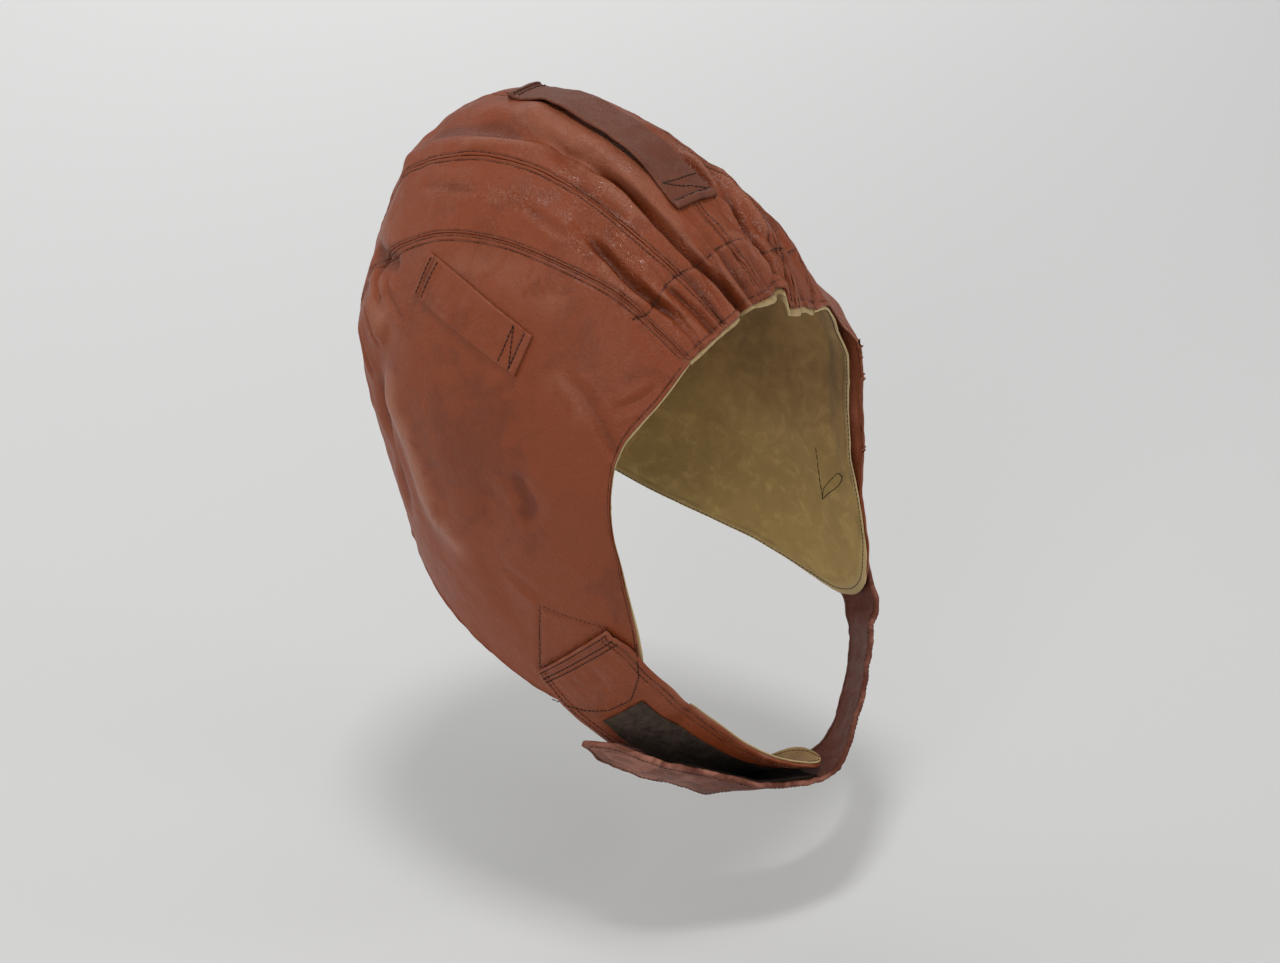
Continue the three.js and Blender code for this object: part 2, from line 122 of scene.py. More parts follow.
@dataclass
class Curve:
    """A smooth curve through points, with knots spaced by the square root of each chord.

    Args:
        points: The points that it passes.
    """

    points: Array

    def at(self, share: Array) -> Array:
        """Place at each share of the stations: four neighbours weigh a cubic on each span.

        Args:
            share: Shares from 0 to 1.

        Returns:
            Places on the curve.
        """
        p = self.points
        share = np.asarray(share, float)
        whole = (len(p) - 1) * share
        k = np.minimum(np.floor(whole).astype(int), len(p) - 2)
        w = (whole - k)[..., None]
        padded = np.vstack([2 * p[0] - p[1], p, 2 * p[-1] - p[-2]])
        a, b, c, d = (padded[k + i] for i in range(4))
        step = [np.sqrt(np.linalg.norm(n - m, axis=-1, keepdims=True)) for m, n in ((a, b), (b, c), (c, d))]
        x, y, z = (np.maximum(s, 1e-6) for s in step)
        first = ((b - a) / x - (c - a) / (x + y) + (c - b) / y) * y
        last = ((c - b) / y - (d - b) / (y + z) + (d - c) / z) * y
        return b + w * (first + w * ((3 * (c - b) - 2 * first - last) + w * (2 * (b - c) + first + last)))

    def by_length(self, share: Array) -> Array:
        """Place at each share of the length, from 200 equal steps of the stations."""
        steps = np.linspace(0, 1, 201)
        run = np.linalg.norm(np.diff(self.at(steps), axis=0), axis=1)
        total = np.concatenate([[0], np.cumsum(run)])
        return self.at(np.interp(np.clip(share, 0, 1) * total[-1], total, steps))


def to_line(points: Array, line: Array) -> tuple[Array, Array]:
    """Distance from each place to a broken line, and how far along it the nearest point is.

    Args:
        points: Places in the last axis.
        line: Corners of the line.

    Returns:
        Distances, and shares of the line's length.
    """
    best = np.full(points.shape[:-1], np.inf)
    where = np.zeros(points.shape[:-1])
    run = np.linalg.norm(np.diff(line, axis=0), axis=1)
    start = np.concatenate([[0], np.cumsum(run)])
    for i in range(len(line) - 1):
        way = line[i + 1] - line[i]
        t = np.clip(((points - line[i]) @ way) / (way @ way), 0, 1)
        off = np.linalg.norm(points - line[i] - t[..., None] * way, axis=-1)
        closer = off < best
        best = np.where(closer, off, best)
        where = np.where(closer, (start[i] + t * run[i]) / start[-1], where)
    return best, where


@dataclass
class HeadForm:
    """The outer face of the leather as a height over directions from the middle of the head."""

    half_width: float = 88
    reach_front: float = 113.5
    reach_back: float = 111.5
    crown_height: float = 119.5
    crown_roundness: float = 2.05
    girth_roundness: float = 2.2
    widening_behind: float = 0.00077
    crown_lean: float = 0.12
    girth_tilt: float = 0.186
    jaw_taper: float = 0.0007
    jaw_taper_growth: float = 0.00001
    flare_way: Array = field(default_factory=lambda: np.array([0.82, -0.57, -0.06]))
    # columns: azimuth elevation spread height
    swells: Array = field(default_factory=lambda: rows("""
        180 55 24 3.2
        -145 3 16 2.6
        145 3 16 2.6
        -155 32 10 -6
        158 30 12 -3
        100 66 18 -2.6
        -100 66 18 -1.5
        46 45 14 1.8
        -46 45 14 1.8
        -98 -22 12 2
        98 -22 12 2"""))
    # columns: z away
    flares: Array = field(default_factory=lambda: rows("""
        -125 40
        -85 28
        -45 17
        5 13
        32 4
        52 0"""))
    creases: tuple[tuple[float, float, str], ...] = (
        (3.6, 6, "-23 8 114\n-21 -12 109\n-20 -29 101\n-19 -47 91\n-18 -59 82\n-13 -80 61"),
        (2.4, 5.5, "-44 -20 94\n-45 -38 83\n-43 -56 72\n-38 -67 64"),
        (3, 9, "-20 85 104\n-24 60 117\n-27 34 117\n-22 12 115"),
        (-2, 6, "-38 80 94\n-35 34 113\n-30 10 112"),
        (3, 6, "24 -2 112\n22 -30 101\n18 -58 83\n12 -80 62"),
        (2.2, 6, "44 -16 94\n45 -40 82\n40 -66 65"),
        (-5, 9, "78 -38 22\n80 -36 -5\n79 -38 -30\n74 -42 -50"),
        (2, 7, "-80 66 24\n-78 66 0\n-72 70 -28"),
        (2, 8, "-83 -4 -20\n-80 4 -48\n-76 -4 -70"),
    )

    def value(self, p: Array) -> Array:
        """Below 0 inside the plain form: a superellipse girth that leans, domed above and tapered below."""
        z = p[..., 2]
        y = p[..., 1] - self.crown_lean * np.maximum(z, 0)
        reach = np.where(y < 0, self.reach_front, self.reach_back)
        width = self.half_width * (1 + self.widening_behind * y)
        n = self.girth_roundness
        girth = (np.abs(p[..., 0] / width) ** n + np.abs(y / reach) ** n) ** (1 / n)
        height = z - self.girth_tilt * y
        m = self.crown_roundness
        dome = (girth**m + (np.maximum(height, 0) / self.crown_height) ** m) ** (1 / m)
        low = np.minimum(height, 0)
        jaw = girth / (1 + self.jaw_taper * low - self.jaw_taper_growth * low * low)
        return np.where(height > 0, dome, jaw) - 1

    def radius(self, ways: Array) -> Array:
        """Distance to the plain form in each direction, by halving."""
        inner = np.full(ways.shape[:-1], 30.0)
        outer = np.full(ways.shape[:-1], 420.0)
        for _ in range(30):
            middle = (inner + outer) / 2
            out = self.value(ways * middle[..., None]) > 0
            outer = np.where(out, middle, outer)
            inner = np.where(out, inner, middle)
        return (inner + outer) / 2

    def swell(self, ways: Array) -> Array:
        """Height of the gentle swellings: a bell over the angle from each bearing."""
        total = np.zeros(ways.shape[:-1])
        for azimuth, elevation, spread, height in self.swells:
            a, e, s = np.radians([azimuth, elevation, spread])
            middle = np.array([np.sin(a) * np.cos(e), -np.cos(a) * np.cos(e), np.sin(e)])
            total += height * np.exp((ways @ middle - 1) / (s * s))
        return total

    def creased(self, ways: Array, radius: Array) -> Array:
        """Depth of the main creases: a bell over the distance from each line."""
        total = np.zeros(ways.shape[:-1])
        for depth, reach, path in self.creases:
            off, _ = to_line(ways, unit(rows(path)))
            total += depth * np.exp(-((off * radius / reach) ** 2))
        return total

    def flare(self, points: Array) -> Array:
        """How far and which way each point of the left flap hangs away from the jaw."""
        away = np.interp(points[..., 2], self.flares[:, 0], self.flares[:, 1])
        share = fade(points[..., 0], 20, 50) * (1 - fade(points[..., 1], -20, 80))
        return (away * share)[..., None] * self.flare_way

    def skin(self, ways: Array) -> Array:
        """Places on the outer face of the leather in the given directions."""
        radius = self.radius(ways) + self.swell(ways)
        point = ways * (radius - self.creased(ways, radius))[..., None]
        return point + self.flare(point)

    def way_to(self, points: Array) -> Array:
        """Directions that lead to places beside the leather, with the flare taken back."""
        plain = points.copy()
        for _ in range(8):
            plain = points - self.flare(plain)
        return unit(plain)

    def normal(self, ways: Array) -> Array:
        """Outward normals, from two small steps on the face in each direction."""
        aside = unit(np.cross([0.0, 0.0, 1.0], ways))
        upward = np.cross(ways, aside)
        step = 0.02
        across = self.skin(unit(ways + step * aside)) - self.skin(unit(ways - step * aside))
        up = self.skin(unit(ways + step * upward)) - self.skin(unit(ways - step * upward))
        return unit(np.cross(across, up))


# Seam lines of the right half, front edge first and nape last
CENTRE_SEAM = rows("""
    0 -80 62
    0 -71 73
    0 -60 83
    0 -42 97
    0 -10 112
    0 25 121
    0 57 120
    0 86 101
    0 105 70
    0 112 30
    0 112 -10
    0 106 -45
    0 99 -73""")
UPPER_SEAM = rows("""
    -25 -79 58
    -30 -58 78
    -34 -36 92
    -35 -12 103
    -37 12 109
    -41 35 110
    -45 58 104
    -43 84 84
    -37 100 55
    -30 108 20
    -25 108 -15
    -21 104 -45
    -19 98 -73""")
LOWER_SEAM = rows("""
    -44 -75 49
    -48 -60 61
    -52 -44 73
    -58 -17 82
    -62 11 86
    -67 40 83
    -69 62 72
    -64 81 56
    -57 94 30
    -50 99 0
    -45 98 -30
    -41 95 -55
    -38 92 -73""")
# The free edge of the ear flap: down the face, round the tip and back to the nape
FLAP_EDGE = rows("""
    -44 -75 49
    -58 -70 34
    -70 -61 17
    -74 -58 4
    -74 -57 -21
    -70 -60 -46
    -63 -63 -80
    -60 -62 -98
    -59 -57 -112
    -61 -46 -121
    -63 -34 -124
    -66 -19 -123
    -70 10 -112
    -69 34 -101
    -64 56 -88
    -60 68 -80
    -50 82 -75
    -38 92 -73""")


def mirrored(table: Array, side: Side) -> Array:
    """A right-hand table of places, turned over for the left side."""
    return table * np.array([-side.value, 1, 1])


def seam_ways(table: Array, side: Side, share: Array) -> Array:
    """Directions along a seam at shares of its length."""
    return unit(Curve(mirrored(table, side)).by_length(share))


def between(start: Array, end: Array, share: Array) -> Array:
    """Directions a share of the way along the great circle from one direction to another."""
    cosine = np.clip((start * end).sum(-1, keepdims=True), -1, 1)
    angle = np.maximum(np.arccos(cosine), 1e-7)
    share = share[..., None]
    return unit(np.sin((1 - share) * angle) * start + np.sin(share * angle) * end)


def grid_normal(p: Array) -> Array:
    """Normals of a grid of places, the cross product of its two slopes, facing away from the head."""
    n = unit(np.cross(np.gradient(p, axis=0), np.gradient(p, axis=1)))
    return n * np.where((n * p).sum(-1, keepdims=True).mean() < 0, -1, 1)


def laid(corners: Array, smooth: bool = True) -> Array:
    """A line through places near the leather, brought onto the smooth form.

    Args:
        corners: The places that it passes.
        smooth: A curve through them, or straight runs between them.

    Returns:
        Places on the form, close together.
    """
    count = 8 * (len(corners) - 1) + 1
    share = np.linspace(0, 1, count)
    if smooth:
        line = Curve(corners).at(share)
    else:
        place = share * (len(corners) - 1)
        line = np.stack([np.interp(place, np.arange(len(corners)), corners[:, k]) for k in range(3)], -1)
    return FORM.skin(FORM.way_to(line))


@dataclass(frozen=True)
class Fold:
    """One crease or ridge of the worn leather.

    Args:
        depth: How deep, or below 0 how high, in millimetres.
        reach: Half width of the valley.
        path: The line that it follows.
        shoulder: Share of the depth that the leather bulges beside it.
        ends: Whether it dies out at its start and at its end.
        loose: Whether the leather alone follows it, off its lining.
    """

    depth: float
    reach: float
    path: str
    shoulder: float = 0.3
    ends: tuple[bool, bool] = (True, True)
    loose: bool = False

    def height(self, points: Array) -> Array:
        """Minus a bell over the distance to the line, plus a wider bell on each side of it."""
        line = laid(rows(self.path))
        low, high = line.min(0) - 5 * self.reach, line.max(0) + 5 * self.reach
        near = ((points > low) & (points < high)).all(-1)
        result = np.zeros(points.shape[:-1])
        off, where = to_line(points[near], line)
        share = np.ones_like(where)
        if self.ends[0]:
            share *= fade(where, 0, 0.22)
        if self.ends[1]:
            share *= fade(1 - where, 0, 0.22)
        valley = np.exp(-((off / self.reach) ** 2))
        beside = bell(off, 2.1 * self.reach, 1.1 * self.reach)
        result[near] = self.depth * share * (self.shoulder * beside - valley)
        return result


@dataclass
class Relief:
    """Everything that wear and gathering add to the smooth leather, shared by all the layers."""

    folds: tuple[Fold, ...] = (
        # the two deep creases of the right crown, with the ridges beside them
        Fold(4.2, 2.0, "-22 0 112\n-21 -20 105\n-21 -39 95\n-20 -55 84\n-16 -66 75\n-12 -79 62", 0.35,
             (True, False)),
        Fold(3.0, 1.8, "-45 -18 94\n-46 -33 86\n-46 -46 78\n-43 -56 71\n-38 -68 63", 0.4),
        Fold(-2.0, 3.2, "-38 60 108\n-38 46 111\n-26 14 115\n-25 0 112\n-26 -22 103\n-27 -44 90", 0.1),
        Fold(-2.2, 4.2, "-20 48 120\n-18 8 116\n-16 -19 107\n-15 -40 97\n-12 -60 83", 0.1),
        Fold(2.8, 6.5, "-26 88 99\n-29 65 112\n-25 42 118\n-24 24 117", 0.1),
        Fold(-1.3, 3.0, "-50 -28 84\n-51 -44 75\n-47 -56 69", 0.1),
        Fold(1.3, 2.0, "-33 -2 107\n-33 -18 102\n-31 -34 93", 0.4),
        Fold(1.1, 2.0, "-50 10 98\n-51 -6 95\n-51 -18 90", 0.4),
        Fold(1.0, 2.4, "-52 62 92\n-53 44 96\n-52 28 99", 0.4),
        Fold(-4.6, 7.5, "-14 50 121\n-13 24 121\n-13 0 115\n-12 -22 107\n-12 -40 99", 0.0),
        # crown left of the centre seam
        Fold(2.4, 1.7, "17 -58 82\n18 -66 75\n18 -73 68\n21 -77 62", 0.4, (True, False)),
        Fold(-2.0, 3.0, "5 -56 86\n8 -62 81\n10 -69 74\n14 -77 65", 0.1, (True, False)),
        Fold(2.2, 1.8, "26 -56 80\n28 -66 72\n30 -72 63\n31 -77 57", 0.4, (True, False)),
        Fold(-1.6, 1.9, "29 -12 104\n26 -26 100\n22 -39 95\n15 -50 89\n9 -59 83", 0.3),
        Fold(1.5, 2.0, "33 -12 102\n30 -26 98\n26 -39 93\n20 -50 87\n14 -59 82", 0.3),
        Fold(-1.5, 1.9, "36 -20 96\n33 -34 93\n31 -45 88\n29 -54 82\n23 -65 75", 0.3),
        Fold(1.6, 2.0, "40 -20 95\n37 -34 91\n35 -45 86\n33 -54 80", 0.3),
        Fold(2.0, 2.0, "24 4 112\n23 -30 101\n20 -52 87\n12 -79 62", 0.35, (True, False)),
        Fold(1.5, 1.9, "44 -16 94\n45 -40 82\n41 -64 66", 0.4),
        # short creases that run up from the brow edge
        Fold(2.0, 1.6, "-38 -56 77\n-34 -66 68\n-31 -76 59", 0.45, (True, False)),
        Fold(1.6, 1.5, "-42 -62 70\n-40 -69 61\n-39 -76 52", 0.45, (True, False)),
        Fold(1.6, 1.6, "-27 -58 80\n-26 -67 71\n-25 -77 61", 0.45, (True, False)),
        Fold(1.4, 1.5, "-6 -58 85\n-7 -68 76\n-5 -79 63", 0.45, (True, False)),
        Fold(-1.3, 3.0, "1 -66 78\n0 -74 68\n3 -79 63", 0.1, (True, False)),
        # temple, ear and cheek of the right flap
        Fold(1.0, 2.6, "-75 -30 44\n-74 -42 36\n-73 -50 26\n-72 -58 14", 0.5, (True, False)),
        Fold(0.8, 2.0, "-70 -54 30\n-62 -64 36\n-56 -69 42", 0.5),
        Fold(2.0, 4.6, "-87 -14 -2\n-86 -19 -12\n-84 -22 -18\n-84 -16 -27", 0.25),
        Fold(0.9, 3.0, "-84 -18 -30\n-82 -3 -50\n-80 -17 -62\n-77 -31 -66", 0.4),
        Fold(0.8, 2.6, "-85 -4 -22\n-85 10 -36\n-83 22 -50", 0.4),
        Fold(-1.8, 6.0, "-84 58 22\n-83 55 6\n-84 43 -17\n-82 34 -40\n-83 19 -52", 0.2),
        Fold(1.7, 3.8, "-80 68 22\n-79 68 6\n-76 67 -14\n-76 58 -37\n-72 57 -58", 0.3),
        # puckers and the notch at the back of the right side
        Fold(3.4, 4.5, "-56 88 60\n-64 77 61\n-70 68 64\n-73 56 66", 0.35),
        Fold(-2.6, 7.5, "-70 78 42\n-76 68 38\n-80 58 34", 0.1),
        Fold(2.0, 2.2, "-66 74 66\n-71 72 54\n-76 66 46", 0.5),
        Fold(1.6, 1.9, "-68 83 42\n-76 72 36\n-80 64 27", 0.5),
        Fold(1.4, 1.8, "-63 88 30\n-70 80 20\n-76 72 8", 0.5),
        Fold(1.2, 1.8, "-60 92 12\n-66 86 2\n-70 80 -12", 0.5),
        Fold(1.0, 1.7, "-74 68 60\n-78 58 50\n-82 46 44", 0.5),
        # left side
        Fold(-5.6, 7.5, "70 -64 50\n78 -62 34\n83 -61 18\n85 -62 4\n86.5 -64 -12\n86 -67 -30\n"
             "86 -69 -48\n85 -73 -68", 0, loose=True),
        Fold(1.3, 2.4, "84 -50 -2\n86 -54 -20\n86 -60 -38", 0.5, loose=True),
        Fold(0.9, 1.6, "70 66 66\n69 76 50\n66 82 34", 0.6),
        Fold(0.8, 2.2, "84 -6 -20\n83 6 -36\n80 18 -52", 0.5),
        Fold(-1.1, 6.0, "84 50 18\n84 40 -12\n82 30 -44", 0.2),
    )

    def gathers(self, points: Array) -> Array:
        """Folds that the elastic draws at the brow and the nape: noise along x, faded from the edge."""
        x, y, z = (points[..., i] for i in range(3))
        level = 0.55 * (-y) + 0.84 * z
        front = (z > 40) & (y < -20)
        edge = 49.5 * 0.84 + 75 * 0.55
        above = np.where(front, level - edge, 99)
        brow = bell(above, 14, 15) * fade(-y, 30, 52) * front
        plane = np.stack([x, 0.25 * level, 0 * x], -1)
        wave = noise(plane, (7.5, 16, 1), 3) + 0.5 * noise(plane, (3.8, 10, 1), 4)
        nape = bell(z, -62, 20) * fade(y, 55, 80)
        fall = np.stack([x, 0.2 * z, 0 * x], -1)
        tail = noise(fall, (6.5, 15, 1), 7) + 0.5 * noise(fall, (3.6, 9, 1), 8)
        pinch = -np.exp(-((wave / 0.10) ** 2))
        return brow * (1.7 * wave + 0.9 * pinch) + 1.6 * nape * (tail - 0.5 * np.exp(-((tail / 0.1) ** 2)))

    def ruffled(self, points: Array) -> Array:
        """Places with the brow edge left of the centre seam turned up, and sagging beside that.

        Args:
            points: Places on the smooth form.

        Returns:
            The same places, pushed along and off the form by bells over x that fade from the edge.
        """
        x, y, z = (points[..., i] for i in range(3))
        from_edge = np.maximum(z - np.interp(x, [0, 25, 44, 60], [62, 58, 49, 32]), 0) / 0.8
        front = fade(-y, 40, 60) * fade(z, 18, 32) * np.exp(-from_edge / 9)
        sag = fade(x, 16, 24) * (1 - fade(x, 42, 60))
        up = 3.6 * bell(x, 12, 6) - 7.0 * sag + 1.5 * bell(x, -9, 7)
        out = 3.2 * bell(x, 11, 5.5) - 5.0 * sag - 2.5 * bell(x, 24, 5)
        push = up[..., None] * np.array([0, 0.6, 0.8]) + out[..., None] * np.array([0.15, -0.8, 0.58])
        return points + front[..., None] * push

    def height(self, points: Array, lining: bool = False) -> Array:
        """The sum of the folds, the gathers and three sizes of unevenness.

        Args:
            points: Places on the smooth form.
            lining: Leaves out the folds of loose leather.

        Returns:
            Heights over the smooth form.
        """
        total = np.zeros(points.shape[:-1])
        for fold in self.folds:
            if not (fold.loose and lining):
                total += fold.height(points)
        total += self.gathers(points)
        top = fade(points[..., 2], 30, 80)
        total += 0.55 * noise(points, 26, 11) * (0.7 + 0.6 * top)
        total += 0.30 * noise(points, 10, 12) * (0.9 + 0.7 * top)
        total += 0.12 * noise(points, 5.5, 14)
        back = fade(points[..., 1], 58, 84) * fade(points[..., 2], -20, 10)
        total += 0.8 * back * noise(points, (9, 9, 17), 13)
        return total


@dataclass(frozen=True)
class Gloss:
    """A stretch of leather that has kept its glaze, or was worn to a shine; the finish paints highlights on
    both, as glints on the glaze and as paleness on the worn ridges.

    Args:
        amount: How much, from 0 to 1.
        reach: Half width of the stretch.
        path: The line that it follows.
    """

    amount: float
    reach: float
    path: str

    def at(self, points: Array) -> Array:
        """A bell over the distance to the line."""
        off, _ = to_line(points, laid(rows(self.path)))
        return self.amount * np.exp(-((off / self.reach) ** 2))


# Stretches that kept their glaze, glossier and more wrinkled; the finish paints pale glints of crackle on
# them
GLAZED = (
    Gloss(1.0, 8.0, "-36 -14 101\n-37 -20 98\n-39 -33 91\n-41 -47 82"),
    Gloss(0.8, 5.0, "-58 50 95\n-55 42 98\n-51 20 99\n-48 5 97"),
    Gloss(0.9, 5.0, "-47 -12 93\n-50 -30 84\n-50 -44 76"),
    Gloss(0.8, 5.0, "-30 0 110\n-27 -8 108\n-25 -26 101\n-24 -44 90"),
    Gloss(0.5, 4.5, "-13 2 115\n-12 -14 111\n-11 -34 102"),
    Gloss(0.8, 8.0, "-42 -66 63\n-29 -68 69\n-18 -69 72\n-6 -72 72"),
    Gloss(0.7, 7.0, "8 -60 83\n18 -66 75\n30 -64 73"),
    Gloss(0.7, 9.0, "27 -12 105\n28 -34 94\n24 -54 83"),
    Gloss(0.7, 8.0, "36 40 108\n40 10 103\n40 -20 95"),
    Gloss(0.8, 6.0, "50 30 98\n52 0 95\n50 -30 84"),
)
# Ridges whose glaze was rubbed pale and smooth, their paleness also a painted highlight where the ridges
# catch the light
RUBBED_AND_HIGHLIT = (
    Gloss(1.0, 6.0, "-84 58 16\n-83 55 6\n-84 43 -17\n-82 34 -40\n-81 22 -52"),
    Gloss(0.5, 8.0, "-72 24 74\n-71 20 75\n-67 -1 76\n-66 -20 70"),
    Gloss(0.45, 5.0, "-76 -30 40\n-75 -42 28"),
    Gloss(0.5, 5.0, "-78 66 48\n-82 52 36"),
    Gloss(0.5, 6.0, "84 50 18\n84 40 -12\n82 30 -44"),
)

FORM = HeadForm()
RELIEF = Relief()


def metres(points: Array) -> Array:
    """Places in the part's frame, in metres, from millimetres about the middle of the head."""
    return (points + HEAD_MIDDLE) * 0.001


def signed_volume(vertices: Array, faces: NDArray[np.int64]) -> float:
    """Volume of a closed mesh of quads: each is split, and each half adds a sixth of its triple product."""
    a, b, c, d = (vertices[faces[:, i]] for i in range(4))
    return float(((a * np.cross(b, c)).sum() + (a * np.cross(c, d)).sum()) / 6)


def put_mesh(
    name: str,
    vertices: Array,
    faces: NDArray[np.int64],
    attributes: dict[str, Array] | None = None,
    flat: NDArray[np.bool_] | None = None,
) -> bpy.types.Object:
    """A closed mesh object of quads, turned so that its faces point outwards.

    Args:
        name: The piece's plain name.
        vertices: Places in metres.
        faces: Four corner numbers a row.
        attributes: Numbers for each vertex that the finish reads.
        flat: Which faces are shaded flat.

    Returns:
        The new object, at the origin.
    """
    if signed_volume(vertices, faces) < 0:
        faces = faces[:, ::-1]
    mesh = bpy.data.meshes.new(name)
    mesh.vertices.add(len(vertices))
    mesh.vertices.foreach_set("co", vertices.astype(np.float32).ravel())
    mesh.loops.add(faces.size)
    mesh.loops.foreach_set("vertex_index", faces.astype(np.int32).ravel())
    mesh.polygons.add(len(faces))
    mesh.polygons.foreach_set("loop_start", np.arange(0, faces.size, 4, dtype=np.int32))
    mesh.update(calc_edges=True)
    smooth = np.ones(len(faces), bool) if flat is None else ~flat
    mesh.polygons.foreach_set("use_smooth", smooth)
    for key, values in (attributes or {}).items():
        layer = mesh.attributes.new(key, "FLOAT", "POINT")
        layer.data.foreach_set("value", values.astype(np.float32).ravel())
    mesh.validate()
    return placed(name, mesh)


def placed(name: str, data: bpy.types.ID) -> bpy.types.Object:
    """A new object of the scene that carries the given data."""
    made = bpy.data.objects.new(name, data)
    bpy.context.scene.collection.objects.link(made)
    return made


def shell(
    name: str, outer: Array, inner: Array, attributes: dict[str, Array] | None = None
) -> bpy.types.Object:
    """A closed sheet from a grid on its outer face and the same grid on its inner face.

    Args:
        name: The piece's plain name.
        outer: Grid of places on the outer face, in millimetres about the middle of the head.
        inner: The same grid on the inner face.
        attributes: Grids of numbers that the finish reads.

    Returns:
        The new object.
    """
    n, m = outer.shape[:2]
    top = np.arange(n * m).reshape(n, m)
    under = top + n * m

    def quads(grid: NDArray[np.int64]) -> NDArray[np.int64]:
        """Corner numbers of each cell of a grid."""
        return np.stack([grid[:-1, :-1], grid[1:, :-1], grid[1:, 1:], grid[:-1, 1:]], -1).reshape(-1, 4)

    loop = np.concatenate([top[:, 0], top[-1, 1:], top[-2::-1, -1], top[0, -2::-1]])
    a, b = loop[:-1], loop[1:]
    wall = np.stack([b, a, a + n * m, b + n * m], -1)
    faces = np.concatenate([quads(top), quads(under)[:, ::-1], wall])
    vertices = metres(np.concatenate([outer.reshape(-1, 3), inner.reshape(-1, 3)]))
    both = {key: np.concatenate([grid.ravel(), grid.ravel()]) for key, grid in (attributes or {}).items()}
    return put_mesh(name, vertices, faces, both)


def sampled(wanted: Array, places: Array, values: Array) -> Array:
    """Straight-line reading of each row's values at the wanted places of that row.

    Args:
        wanted: Rows of places to read at.
        places: Rows of rising places.
        values: Rows of values at those places.

    Returns:
        Rows of values.
    """
    k = (places[:, None, :] <= wanted[:, :, None]).sum(-1) - 1
    k = np.clip(k, 0, places.shape[1] - 2)
    x0, x1 = np.take_along_axis(places, k, 1), np.take_along_axis(places, k + 1, 1)
    y0, y1 = np.take_along_axis(values, k, 1), np.take_along_axis(values, k + 1, 1)
    return y0 + (y1 - y0) * np.clip((wanted - x0) / np.maximum(x1 - x0, 1e-9), 0, 1)


def travelled(line: Array) -> Array:
    """Length run along a line up to each of its points."""
    return np.concatenate([[0], np.cumsum(np.linalg.norm(np.diff(line, axis=0), axis=1))])


def points_at(wanted: Array, total: Array, line: Array) -> Array:
    """Points of a line, or of the normals on it, at the wanted lengths."""
    return np.stack([np.interp(wanted, total, line[:, k]) for k in range(3)], -1)


def points_across(wanted: Array, places: Array, grid: Array) -> Array:
    """One point of each row of a grid, at that row's wanted place."""
    return np.stack([sampled(wanted, places, grid[..., k])[:, 0] for k in range(3)], -1)


@dataclass
class Surface:
    """A dressed face of leather, kept so that stitches and tabs can be laid on it.

    Args:
        places: Grid of places on its outer face.
        normals: Outward normals there.
    """

    places: Array
    normals: Array

    def onto(self, points: Array) -> tuple[Array, Array]:
        """The nearest places on the face and their normals: the nearest grid point's plane is used.

        Args:
            points: Places near the face.

        Returns:
            Places on the face, and normals.
        """
        flat = self.places.reshape(-1, 3)
        normals = self.normals.reshape(-1, 3)
        near = ((flat > points.min(0) - 12) & (flat < points.max(0) + 12)).all(-1)
        flat, normals = flat[near], normals[near]
        found = np.empty(len(points), int)
        for start in range(0, len(points), 64):
            part = points[start : start + 64]
            found[start : start + 64] = ((part[:, None] - flat[None]) ** 2).sum(-1).argmin(1)
        n = normals[found]
        lift = ((points - flat[found]) * n).sum(-1, keepdims=True)
        return points - lift * n, n


def edge_line(face: Surface, inset: float, last: bool) -> tuple[Array, Array]:
    """The line at a fixed distance in from the first or the last edge of a face's grid.

    Args:
        face: The face.
        inset: The distance.
        last: The last edge instead of the first.

    Returns:
        Places and normals, one for each row of the grid.
    """
    grid = face.places
    across = np.linalg.norm(np.diff(grid, axis=1), axis=-1)
    total = np.concatenate([np.zeros((len(grid), 1)), np.cumsum(across, 1)], 1)
    wanted = total[:, -1:] - inset if last else np.full((len(grid), 1), inset)
    return points_across(wanted, total, grid), unit(points_across(wanted, total, face.normals))


